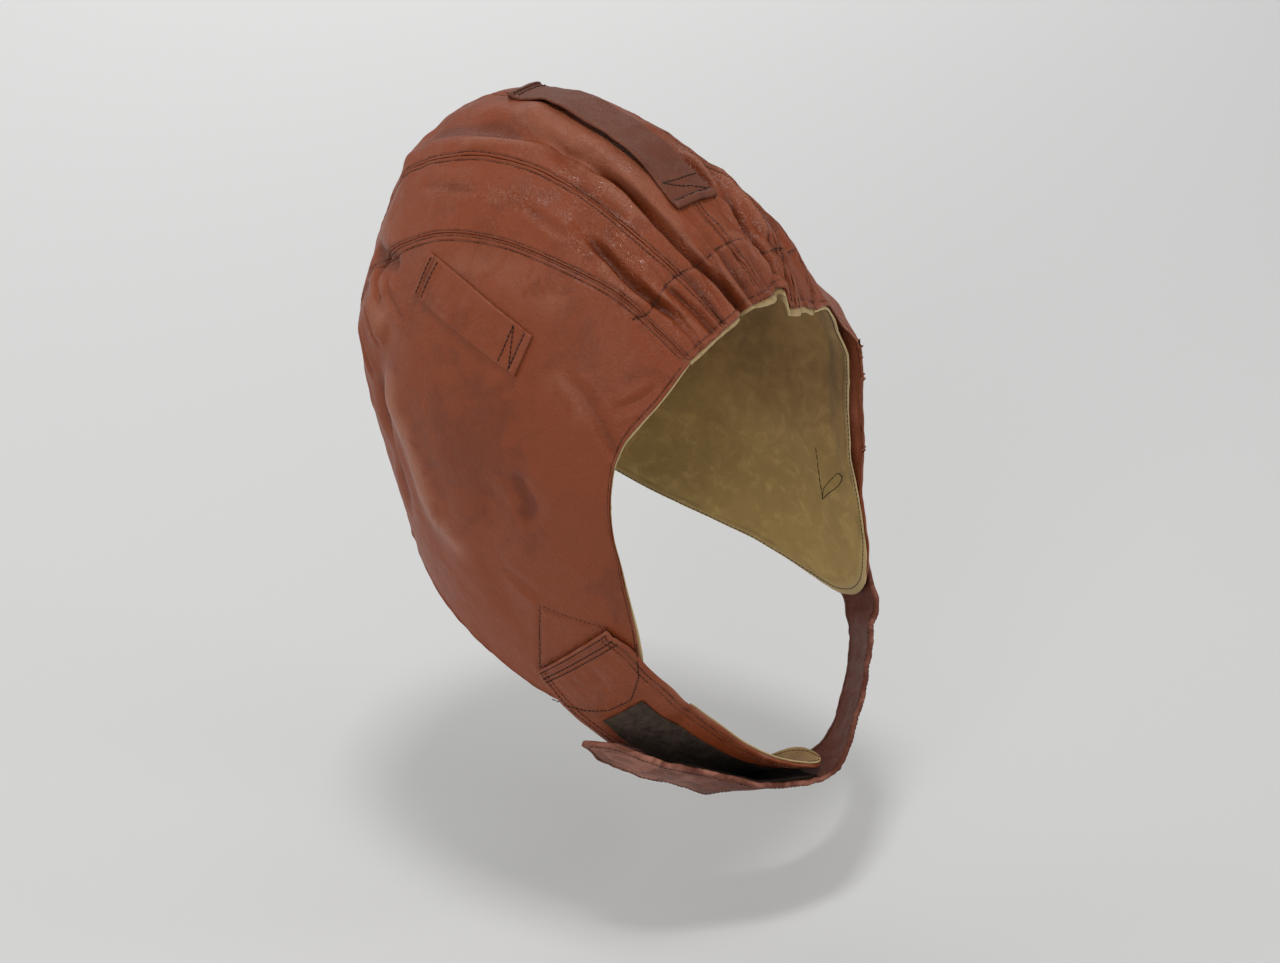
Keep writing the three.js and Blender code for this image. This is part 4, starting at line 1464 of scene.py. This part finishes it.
class Graph:
    """The shader nodes of one finish, with a short call for each kind of node."""

    def __init__(self, name: str) -> None:
        """An empty finish with its shader and output joined.

        Args:
            name: The finish's plain name.
        """
        self.material = bpy.data.materials.new(name)
        self.material.use_nodes = True
        self.tree = self.material.node_tree
        self.tree.nodes.clear()
        self.shader = self.tree.nodes.new("ShaderNodeBsdfPrincipled")
        out = self.tree.nodes.new("ShaderNodeOutputMaterial")
        self.tree.links.new(self.shader.outputs[0], out.inputs[0])
        self.where = self.tree.nodes.new("ShaderNodeTexCoord").outputs["Object"]

    def feed(self, socket: Socket, value: Any) -> None:
        """Links a socket, or sets its number or colour."""
        if isinstance(value, bpy.types.NodeSocket):
            self.tree.links.new(value, socket)
        elif isinstance(value, tuple) and len(value) == 3 and socket.type == "RGBA":
            socket.default_value = (*value, 1)
        else:
            socket.default_value = value

    def mark(self, name: str) -> Socket:
        """A number that the piece carries at each vertex."""
        node = self.tree.nodes.new("ShaderNodeAttribute")
        node.attribute_name = name
        return node.outputs["Fac"]

    def cloud(self, scale: float, detail: float = 2, roughness: float = 0.5, warp: float = 0) -> Socket:
        """Noise of a cell count per metre."""
        node = self.tree.nodes.new("ShaderNodeTexNoise")
        self.feed(node.inputs["Vector"], self.where)
        given = (("Scale", scale), ("Detail", detail), ("Roughness", roughness), ("Distortion", warp))
        for key, value in given:
            node.inputs[key].default_value = value
        return node.outputs["Fac"]

    def cells(self, scale: float, feature: str = "F1", vector: Socket | None = None) -> Socket:
        """Distance in a pattern of cells."""
        node = self.tree.nodes.new("ShaderNodeTexVoronoi")
        node.feature = feature
        self.feed(node.inputs["Vector"], vector or self.where)
        node.inputs["Scale"].default_value = scale
        return node.outputs["Distance"]

    def warped(self, scale: float, size: float) -> Socket:
        """Object places pushed about by coloured noise."""
        node = self.tree.nodes.new("ShaderNodeTexNoise")
        self.feed(node.inputs["Vector"], self.where)
        node.inputs["Scale"].default_value = scale
        push = self.tree.nodes.new("ShaderNodeVectorMath")
        push.operation = "MULTIPLY_ADD"
        self.feed(push.inputs[0], node.outputs["Color"])
        push.inputs[1].default_value = (size, size, size)
        self.feed(push.inputs[2], self.where)
        return push.outputs[0]

    def sum(self, kind: str, a: Any, b: Any = 0.0) -> Socket:
        """One step of arithmetic."""
        node = self.tree.nodes.new("ShaderNodeMath")
        node.operation = kind
        self.feed(node.inputs[0], a)
        self.feed(node.inputs[1], b)
        return node.outputs[0]

    def span(self, value: Any, low: float, high: float, start: float = 0, end: float = 1) -> Socket:
        """Numbers from low to high stretched smoothly from start to end."""
        node = self.tree.nodes.new("ShaderNodeMapRange")
        node.interpolation_type = "SMOOTHSTEP"
        keys = ("Value", "From Min", "From Max", "To Min", "To Max")
        for key, number in zip(keys, (value, low, high, start, end)):
            self.feed(node.inputs[key], number)
        return node.outputs[0]

    def blend(self, share: Any, a: Any, b: Any, kind: str = "MIX") -> Socket:
        """A mix of two colours."""
        node = self.tree.nodes.new("ShaderNodeMix")
        node.data_type = "RGBA"
        node.blend_type = kind
        self.feed(node.inputs[0], share)
        self.feed(node.inputs[6], a)
        self.feed(node.inputs[7], b)
        return node.outputs[2]

    def bump(
        self, height: Any, distance: float, strength: float = 1.0, below: Socket | None = None
    ) -> Socket:
        """A tilt of the surface from a height in shares of a distance in metres."""
        node = self.tree.nodes.new("ShaderNodeBump")
        node.inputs["Strength"].default_value = strength
        node.inputs["Distance"].default_value = distance
        self.feed(node.inputs["Height"], height)
        if below is not None:
            self.feed(node.inputs["Normal"], below)
        return node.outputs[0]

    def finish(self, **values: Any) -> bpy.types.Material:
        """Feeds the shader's own sockets.

        Args:
            values: Sockets by their names, with _ for a space.

        Returns:
            The material.
        """
        for key, value in values.items():
            self.feed(self.shader.inputs[key.replace("_", " ")], value)
        return self.material


@dataclass(frozen=True)
class LeatherFinish:
    """Glazed garment leather: warm brown, pores and fine wrinkles, crackled glaze with painted glints, and
    dark sewn lines.
    """

    name: str = "glazed_leather"
    slot: str = "leather_brown"
    deep: Colour = (0.150, 0.032, 0.010)
    body: Colour = (0.250, 0.052, 0.014)
    pale: Colour = (0.400, 0.170, 0.105)
    roughness: float = 0.48
    coat: float = 0.03
    specular: float = 0.31

    def colour(self, g: Graph, mid: Socket, crackle_glint: Socket) -> Socket:
        """Slow clouds of tone, darker in sewn lines and with painted shade in hollows, paler on worn rims and
        ridges, with painted highlights on ridges, lit ends and glaze crackle.
        """
        seam, rim, rise, rubbed_and_lit = (g.mark(key) for key in ("seam", "rim", "rise", "rubbed_and_lit"))
        slow = g.cloud(18, 3, 0.55, 0.6)
        tone = g.sum("ADD", g.sum("MULTIPLY", slow, 0.55), g.sum("MULTIPLY", mid, 0.45))
        colour = g.blend(g.span(tone, 0.34, 0.50, 0.45, 1.0), self.deep, self.body)
        high = g.span(g.sum("ADD", rise, g.sum("MULTIPLY", g.sum("SUBTRACT", mid, 0.5), 0.7)), 0.62, 1.1)
        colour = g.blend(g.sum("MULTIPLY", high, 0.30), colour, self.pale)
        # Painted shade: hollows and creases, where the rise mark is low, are darkened towards the deep
        # colour.
        low = g.span(rise, 0.42, 0.0)
        colour = g.blend(g.sum("MULTIPLY", low, 0.75), colour, self.deep)
        pores = g.span(g.cloud(900, 3, 0.65), 0.56, 0.70)
        colour = g.blend(g.sum("MULTIPLY", pores, 0.22), colour, self.deep)
        # Painted highlight and wear: worn ridges and the strap's lit free end are painted pale.
        worn = g.sum("MULTIPLY", rubbed_and_lit, g.span(mid, 0.30, 0.62))
        colour = g.blend(g.sum("MULTIPLY", worn, 0.50), colour, self.pale)
        # Painted glints: the glaze's crackle is painted pale, as light caught on the crackled glaze.
        colour = g.blend(g.sum("MULTIPLY", crackle_glint, 0.30), colour, self.pale)
        rub = g.sum("MULTIPLY", rim, g.span(mid, 0.42, 0.66))
        colour = g.blend(g.sum("MULTIPLY", rub, 0.45), colour, self.pale)
        dark = (self.deep[0] * 0.30, self.deep[1] * 0.40, self.deep[2] * 0.6)
        return g.blend(g.sum("MULTIPLY", seam, 0.70), colour, dark)

    def build(self) -> bpy.types.Material:
        """Colour from the clouds and marks; gloss and fine wrinkles grow with the glaze that is left."""
        g = Graph(self.name)
        glaze, rubbed_and_lit = g.mark("glaze"), g.mark("rubbed_and_lit")
        mid = g.cloud(75, 4, 0.6, 0.8)
        broken = g.span(g.cloud(110, 3, 0.6, 1.0), 0.42, 0.58)
        kept = g.sum("MULTIPLY", glaze, broken)
        cracks = g.span(g.cells(520, "DISTANCE_TO_EDGE", g.warped(300, 0.003)), 0.16, 0.02)
        # The crackle mark is painted pale as glints of light on the kept glaze.
        crackle_glint = g.sum("MULTIPLY", g.sum("MULTIPLY", cracks, kept), g.span(g.cloud(260, 2), 0.45, 0.60))
        rough = g.sum("ADD", self.roughness, g.sum("MULTIPLY", g.sum("SUBTRACT", mid, 0.5), 0.28))
        rough = g.sum("SUBTRACT", rough, g.sum("MULTIPLY", kept, 0.38))
        rough = g.sum("SUBTRACT", rough, g.sum("MULTIPLY", rubbed_and_lit, 0.10))
        grain = g.cells(950, "SMOOTH_F1", g.warped(500, 0.0006))
        wrinkle = g.cloud(170, 4, 0.62, 1.6)
        strength = g.sum("ADD", 0.25, g.sum("MULTIPLY", glaze, 1.7))
        crisp = g.sum("MULTIPLY", g.cloud(420, 3, 0.6, 1.2), strength)
        height = g.sum("ADD", g.sum("MULTIPLY", grain, 0.20), g.sum("MULTIPLY", wrinkle, 0.8))
        height = g.sum("ADD", height, g.sum("MULTIPLY", crisp, 0.8))
        net = g.span(g.cells(230, "DISTANCE_TO_EDGE", g.warped(120, 0.012)), 0.0, 0.10)
        height = g.sum("ADD", height, g.sum("MULTIPLY", net, 0.16))
        normal = g.bump(height, 0.0009, 0.65)
        return g.finish(
            Base_Color=self.colour(g, mid, crackle_glint), Roughness=rough, Normal=normal, Coat_Weight=self.coat,
            Coat_Roughness=0.22, Specular_IOR_Level=self.specular,
        )


@dataclass(frozen=True)
class SuedeFinish:
    """Chamois: soiled khaki nap, paler on its worn edge, and lighter and yellower low on the flap as painted
    light.
    """

    name: str = "chamois_nap"
    slot: str = "chamois"
    soiled: Colour = (0.230, 0.135, 0.058)
    body: Colour = (0.430, 0.270, 0.105)
    pale: Colour = (0.680, 0.520, 0.270)
    dark: Colour = (0.060, 0.036, 0.020)

    def build(self) -> bpy.types.Material:
        """Clouds of soil over the nap, lighter and yellower low down as painted light, with the rim's pale
        edge from its own marks.
        """
        g = Graph(self.name)
        rim, row, low = (g.mark(key) for key in ("rim", "row", "low"))
        slow = g.cloud(20, 3, 0.55, 0.6)
        mid = g.cloud(130, 4, 0.65, 0.5)
        nap = g.cloud(1500, 2, 0.6)
        tone = g.sum("ADD", g.sum("MULTIPLY", slow, 0.6), g.sum("MULTIPLY", mid, 0.4))
        colour = g.blend(g.span(tone, 0.30, 0.64), self.soiled, self.body)
        # Painted light: low on the flaps, where more light reaches the inside, the chamois is made lighter
        # and yellower, with more pale patches.
        colour = g.blend(g.sum("MULTIPLY", low, 0.45), colour, (0.560, 0.400, 0.130))
        rubbed_and_lit = g.sum("MULTIPLY", g.span(mid, 0.50, 0.72), g.sum("ADD", 0.05, g.sum("MULTIPLY", low, 0.30)))
        colour = g.blend(rubbed_and_lit, colour, (0.700, 0.520, 0.200))
        colour = g.blend(g.sum("MULTIPLY", rim, 0.85), colour, self.pale)
        colour = g.blend(g.sum("MULTIPLY", row, 0.35), colour, self.dark)
        colour = g.blend(g.sum("MULTIPLY", nap, 0.16), colour, self.soiled)
        height = g.sum("ADD", g.sum("MULTIPLY", nap, 0.5), g.sum("MULTIPLY", mid, 0.8))
        normal = g.bump(height, 0.0006, 0.6)
        return g.finish(
            Base_Color=colour, Roughness=0.95, Normal=normal, Sheen_Weight=0.08, Sheen_Roughness=0.6,
            Specular_IOR_Level=0.12,
        )


@dataclass(frozen=True)
class PileFinish:
    """The fastening's dark pile: grey with lint, near black on the pressed patch; on the other patch the grey
    fades to near black along it, a painted shade where the strap turns under.
    """

    name: str = "fastening_pile"
    slot: str = "patch_fabric"
    dark: Colour = (0.014, 0.008, 0.006)
    lint: Colour = (0.110, 0.078, 0.058)
    # Whether the lint fades to near black along the patch, a painted shade where the strap turns under.
    shade_along: bool = True

    def build(self) -> bpy.types.Material:
        """Fine loops by noise; with shade along it, the lint's share falls along the patch as painted shade.
        """
        g = Graph(self.name)
        along = g.mark("along")
        loops = g.cloud(1500, 3, 0.7, 1.0)
        clots = g.cloud(240, 4, 0.65, 0.8)
        slow = g.cloud(60, 2)
        # Painted shade: the lint's share falls to nothing along the patch.
        start = g.span(along, 0.75, 0.05) if self.shade_along else 0.15
        share = g.sum("MULTIPLY", g.sum("ADD", start, g.sum("MULTIPLY", g.sum("SUBTRACT", slow, 0.5), 0.9)),
                      g.span(clots, 0.20, 0.75, 0.25, 1.0))
        colour = g.blend(share, self.dark, self.lint)
        colour = g.blend(g.sum("MULTIPLY", g.span(loops, 0.55, 0.75), 0.4), colour, self.lint)
        height = g.sum("ADD", g.sum("MULTIPLY", loops, 1.0), g.sum("MULTIPLY", clots, 0.8))
        normal = g.bump(height, 0.0012, 0.9)
        return g.finish(Base_Color=colour, Roughness=0.95, Normal=normal, Specular_IOR_Level=0.1)


@dataclass(frozen=True)
class ThreadFinish:
    """Dark waxed sewing thread."""

    name: str = "waxed_thread"
    slot: str = "leather_brown"
    body: Colour = (0.062, 0.022, 0.013)
    pale: Colour = (0.240, 0.100, 0.060)

    def build(self) -> bpy.types.Material:
        """Its colour, with rubbed paler stitches here and there."""
        g = Graph(self.name)
        mix = g.span(g.cloud(180, 3, 0.6), 0.42, 0.60)
        twist = g.cloud(2600, 2, 0.5)
        colour = g.blend(g.sum("MULTIPLY", mix, 0.8), self.body, self.pale)
        normal = g.bump(twist, 0.0002, 0.5)
        return g.finish(Base_Color=colour, Roughness=0.7, Normal=normal, Specular_IOR_Level=0.2)


@dataclass
class Studio:
    """The pale floor, the soft lights and the camera."""

    floor_height: float = -235.0
    place: tuple[float, float, float] = (-902.486, -735.259, 567.949)
    right: tuple[float, float, float] = (0.625, -0.781, 0.0)
    back: tuple[float, float, float] = (-0.690, -0.552, 0.468)
    lens: float = 83.28

    def camera(self) -> bpy.types.Object:
        """The camera at the place and turn that were solved for the photograph."""
        back = unit(np.array(self.back))
        right = np.array(self.right) - back * (back @ np.array(self.right))
        right = unit(right)
        up = np.cross(back, right)
        data = bpy.data.cameras.new("camera")
        data.lens, data.sensor_width = self.lens, 36
        data.clip_end = 50
        seen = placed("camera", data)
        x, y, z = metres(np.array(self.place))
        seen.matrix_world = Matrix([
            [right[0], up[0], back[0], x],
            [right[1], up[1], back[1], y],
            [right[2], up[2], back[2], z],
            [0, 0, 0, 1],
        ])
        bpy.context.scene.camera = seen
        return seen

    def floor(self) -> bpy.types.Object:
        """A wide round floor, a disc of rings that grow outwards."""
        rings = np.linspace(0, 1, 25)[:, None] ** 2 * 9.0 + 0.02
        turn = np.linspace(0, 2 * np.pi, 65)[None, :-1]
        height = (self.floor_height + HEAD_MIDDLE[2]) * 0.001
        places = np.stack([rings * np.cos(turn), rings * np.sin(turn), 0 * rings + height + 0 * turn], -1)
        n, m = places.shape[:2]
        ring = np.arange(n * m).reshape(n, m)
        nxt = np.roll(ring, -1, axis=1)
        quads = np.stack([ring[:-1], ring[1:], nxt[1:], nxt[:-1]], -1).reshape(-1, 4)
        mesh = bpy.data.meshes.new("studio_floor")
        mesh.from_pydata(places.reshape(-1, 3).tolist(), [], [*quads.tolist(), ring[0].tolist()])
        mesh.update()
        floor = placed("studio_floor", mesh)
        g = Graph("pale_floor")
        shade = g.blend(g.cloud(0.8, 2), (0.720, 0.720, 0.710), (0.740, 0.740, 0.730))
        mesh.materials.append(g.finish(Base_Color=shade, Roughness=0.75, Specular_IOR_Level=0.2))
        return floor

    def light(self, name: str, place: Sequence[float], aim: Sequence[float], size: tuple[float, float],
              power: float, tint: Colour = (1, 1, 1)) -> None:
        """A soft rectangular light.

        Args:
            name: Plain name.
            place: Where it stands, in metres about the middle of the head.
            aim: What it faces, in the same measure.
            size: Its width and height.
            power: Watts.
            tint: Its colour.
        """
        data = bpy.data.lights.new(name, "AREA")
        data.shape, data.size, data.size_y = "RECTANGLE", *size
        data.energy, data.color = power, tint
        lamp = placed(name, data)
        start = Vector(place) + Vector(HEAD_MIDDLE * 0.001)
        way = Vector(aim) - Vector(place)
        lamp.location = start
        lamp.rotation_euler = way.to_track_quat("-Z", "Y").to_euler()

    def build(self) -> None:
        """Floor, lights, world and camera."""
        self.floor()
        self.light("overhead", (-0.16, -0.06, 1.45), (0, 0, 0), (0.26, 0.26), 7.0)
        self.light("rear", (0.1, 1.35, 0.85), (0, 0, 0), (1.0, 0.6), 2.0)
        self.light("rear_left", (-0.95, 1.2, 0.4), (0, 0, 0), (0.7, 0.7), 3.0)
        self.light("front_right", (0.8, -1.5, 0.6), (0, 0, 0), (0.7, 0.7), 6.0)
        self.light("camera_side", (-1.6, -0.6, 0.7), (0, 0, -0.05), (0.8, 0.8), 6.5)
        self.light("far_floor", (1.3, 1.3, 1.2), (1.5, 1.7, -0.24), (1.2, 1.2), 16.0)
        world = bpy.data.worlds.new("studio")
        world.use_nodes = True
        ground = world.node_tree.nodes["Background"]
        ground.inputs[0].default_value = (0.93, 0.94, 0.95, 1)
        ground.inputs[1].default_value = 0.38
        bpy.context.scene.world = world
        bpy.context.scene.view_settings.view_transform = "Standard"
        bpy.context.scene.view_settings.look = "None"
        self.camera()


@dataclass
class Straps:
    """Both chin straps with their linings, patches and stitching."""

    right: Ribbon = field(
        default_factory=lambda: Ribbon(RIGHT_STRAP, Side.RIGHT, SHORT_STRAP, round_tip(0.9)))
    left: Ribbon = field(
        default_factory=lambda: Ribbon(LEFT_STRAP, Side.LEFT, LONG_STRAP, blunt_tip(0.95)))

    def build(self, dress: Callable[..., None]) -> None:
        """Builds each layer, then sews it.

        Args:
            dress: Gives a piece its finish and place.
        """
        body = StrapLayer("chin_strap_right_leather", "chin_strap_right", (0, 1), (0, SHORT_STRAP),
                          WHOLE, (190, 40), 0.5, pleats=0.8)
        chamois = StrapLayer("chin_strap_right_chamois", "chin_strap_right_lining", (10 / 24, 1),
                             (1.75, 2.75), WHOLE, (100, 26), 0.5, (0, 0.08))
        loops = StrapLayer("chin_strap_right_pile", "chin_strap_right_patch", (7 / 24, 22 / 24),
                           (-1.2, -0.05), ((-0.55, 0.42), (-0.96, 0.42)), (150, 44), 0.6, (0.16, 0),
                           swell=(2.6, 0.735, 0.055))
        dress(body.build(self.right), "leather")
        dress(chamois.build(self.right), "chamois")
        dress(loops.build(self.right), "pile_shaded_along")
        long = StrapLayer("chin_strap_left_leather", "chin_strap_left", (0, 1), (0, LONG_STRAP),
                          WHOLE, (230, 26), 1.3, seed=70, worn=1.0)
        hooks = StrapLayer("chin_strap_left_pile", "chin_strap_left_patch", (18 / 32, 27 / 32),
                           (2.5, 3.8), ((-0.9, 0.9), (-0.9, 0.9)), (120, 30), 0.6, (0, 0.14), seed=80)
        dress(long.build(self.left), "strap")
        dress(hooks.build(self.left), "pile_pressed")
        threads = Threads("chin_strap_right_stitching", 2.1, 0.4)
        body.edge_rows(3.0, threads, last=0.97)
        body.edge_rows(5.6, threads, last=0.97)
        chamois.edge_rows(3.0, threads, inside=True)
        assert body.surface
        dress(threads.build(), "thread")
        threads = Threads("chin_strap_right_base_stitching", 2.0, 0.5)
        for row in (1.6, 5.2, 7.4):
            threads.sew(*self.across(body, row))
        tip = mirrored(FLAP_EDGE, Side.RIGHT)[6:12] + np.array([-0.5, 0.5, 2.0])
        threads.sew_on(body.surface, tip)
        dress(threads.build(), "dark_thread")
        threads = Threads("chin_strap_left_stitching", 2.2, 0.4)
        long.edge_rows(2.6, threads)
        long.edge_rows(2.6, threads, inside=True)
        dress(threads.build(), "thread")

    def across(self, layer: StrapLayer, row: float) -> tuple[Array, Array]:
        """A line across a strap at a distance from its sewn end."""
        assert layer.surface
        grid, normals = layer.surface.places, layer.surface.normals
        m = grid.shape[1]
        run = travelled(grid[:, m // 2])
        i = np.interp(row, run, np.arange(len(run)))
        k, t = int(i), i - int(i)
        cut = slice(2, -2)
        return grid[k, cut] * (1 - t) + grid[k + 1, cut] * t, normals[k, cut]


@dataclass
class Helmet:
    """All the pieces, in the order in which they lie on each other."""

    finishes: dict[str, tuple[bpy.types.Material, str]] = field(default_factory=dict)

    def dress(self, piece: bpy.types.Object, finish: str) -> None:
        """Gives a piece its finish, and its place on the rigid body.

        Args:
            piece: A new piece.
            finish: Which finish.
        """
        if finish not in self.finishes:
            made = {
                "leather": LeatherFinish(),
                # The strap's pale tone also paints the light on its free end.
                "strap": LeatherFinish("strap_leather", "leather_strap", (0.075, 0.020, 0.011),
                                       (0.125, 0.034, 0.019), (0.56, 0.24, 0.165), 0.62, 0.01, 0.16),
                "chamois": SuedeFinish(),
                "pile_shaded_along": PileFinish(),
                "pile_pressed": PileFinish("pressed_pile", shade_along=False),
                "loop": LeatherFinish("dusty_leather", "leather_brown", (0.095, 0.028, 0.014),
                                      (0.158, 0.046, 0.022), (0.320, 0.150, 0.095), 0.52, 0.03, 0.24),
                "thread": ThreadFinish(),
                "dark_thread": ThreadFinish("black_thread", body=(0.014, 0.009, 0.008),
                                            pale=(0.05, 0.03, 0.024)),
            }[finish]
            self.finishes[finish] = (made.build(), made.slot)
        material, slot = self.finishes[finish]
        piece.data.materials.append(material)
        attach(piece, "root")
        LOG.info("%s: %d faces", piece.name, len(piece.data.polygons))

    def panels(self) -> list[Panel]:
        """The six panels."""
        made = []
        seam, free = Edge.SEAM, Edge.FREE
        for side, word in ((Side.RIGHT, "right"), (Side.LEFT, "left")):
            brow = BROW_RIGHT if side is Side.RIGHT else BROW_LEFT
            marks = (brow, TRIANGLE) if side is Side.RIGHT else (brow,)
            rim, low, high, top = ((line, side) for line in (FLAP_EDGE, LOWER_SEAM, UPPER_SEAM, CENTRE_SEAM))
            made += [
                Panel(f"ear_flap_{word}", rim, low, (free, seam), 290, 120, ((3.0,), (1.1, 3.2)), marks),
                Panel(f"side_panel_{word}", low, high, (seam, seam), 340, 44, ((1.1,), (1.7,)), (brow,)),
                Panel(f"crown_panel_{word}", high, top, (seam, seam), 340, 48, ((1.7,), (1.9,)), (brow,)),
            ]
        return made

    def build(self) -> None:
        """Lining, panels, tabs, loop and straps."""
        lining = Lining()
        self.dress(lining.build(), "chamois")
        self.dress(lining.sewn(), "dark_thread")
        panels = {panel.node: panel for panel in self.panels()}
        for panel in panels.values():
            self.dress(panel.build(), "leather")
        faces = [panel.surface for panel in panels.values() if panel.surface]
        whole = Surface(np.concatenate([f.places.reshape(-1, 3) for f in faces]),
                        np.concatenate([f.normals.reshape(-1, 3) for f in faces]))
        marks = Threads("brow_stitching", 1.7, 0.38)
        marks.sew_on(whole, laid(np.vstack([BROW_RIGHT, BROW_LEFT[1:]])))
        flap = panels["ear_flap_right"]
        assert flap.surface
        marks.sew_on(flap.surface, laid(TRIANGLE, smooth=False), 2.2)
        self.dress(marks.build(), "dark_thread")
        for panel in panels.values():
            assert panel.threads
            self.dress(panel.threads.build(), "thread")
        self.tabs()
        Straps().build(self.dress)

    def tabs(self) -> None:
        """The goggle tabs and the crown loop, with their box stitches."""
        goggle = rows("-71 40 75\n-79 45 58\n-74.5 -17 55\n-81.5 -13 38")
        loop = rows("-7 53 121\n13 54 121\n-11 -42 97\n14 -43 95")
        made = (
            Tab("goggle_tab_right", Side.RIGHT, goggle, 0.5, (90, 26), 1.0),
            Tab("goggle_tab_left", Side.LEFT, goggle, 0.5, (90, 26), 1.0),
            Tab("crown_loop", Side.RIGHT, loop, 2.2, (120, 32), 1.5, 0.9),
        )
        for tab in made:
            self.dress(tab.build(), "leather" if tab.bar < 0.6 else "loop")
            threads = Threads(f"{tab.node}_stitching", 2.0, 0.5)
            assert tab.surface
            grid = tab.surface.places
            length = float(np.linalg.norm(grid[-1, 0] - grid[0, 0]))
            low, high = (3.6, 9.5) if tab.node != "crown_loop" else (3.8, 12.5)
            for line in (
                [(low, 0.06), (low, 0.94)],
                [(low, 0.94), (high, 0.06)],
                [(high, 0.06), (high, 0.94)],
                [(length - 1.8, 0.06), (length - 1.8, 0.94)],
                [(length - 5.4, 0.06), (length - 5.4, 0.94)],
            ):
                threads.sew_on(tab.surface, tab.line(line))
            self.dress(threads.build(), "dark_thread")


def main() -> None:
    """Builds the helmet around the frame, then the studio."""
    logging.basicConfig(level=logging.INFO, format="%(message)s")
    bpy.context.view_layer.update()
    Helmet().build()
    Studio().build()


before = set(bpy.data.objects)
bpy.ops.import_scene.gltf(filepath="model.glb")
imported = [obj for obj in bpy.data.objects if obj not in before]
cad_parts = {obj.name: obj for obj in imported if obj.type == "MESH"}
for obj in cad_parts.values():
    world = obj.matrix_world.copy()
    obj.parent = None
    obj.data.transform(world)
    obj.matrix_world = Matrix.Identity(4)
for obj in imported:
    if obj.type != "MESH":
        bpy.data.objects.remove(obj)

if __name__ == "__main__":
    main()
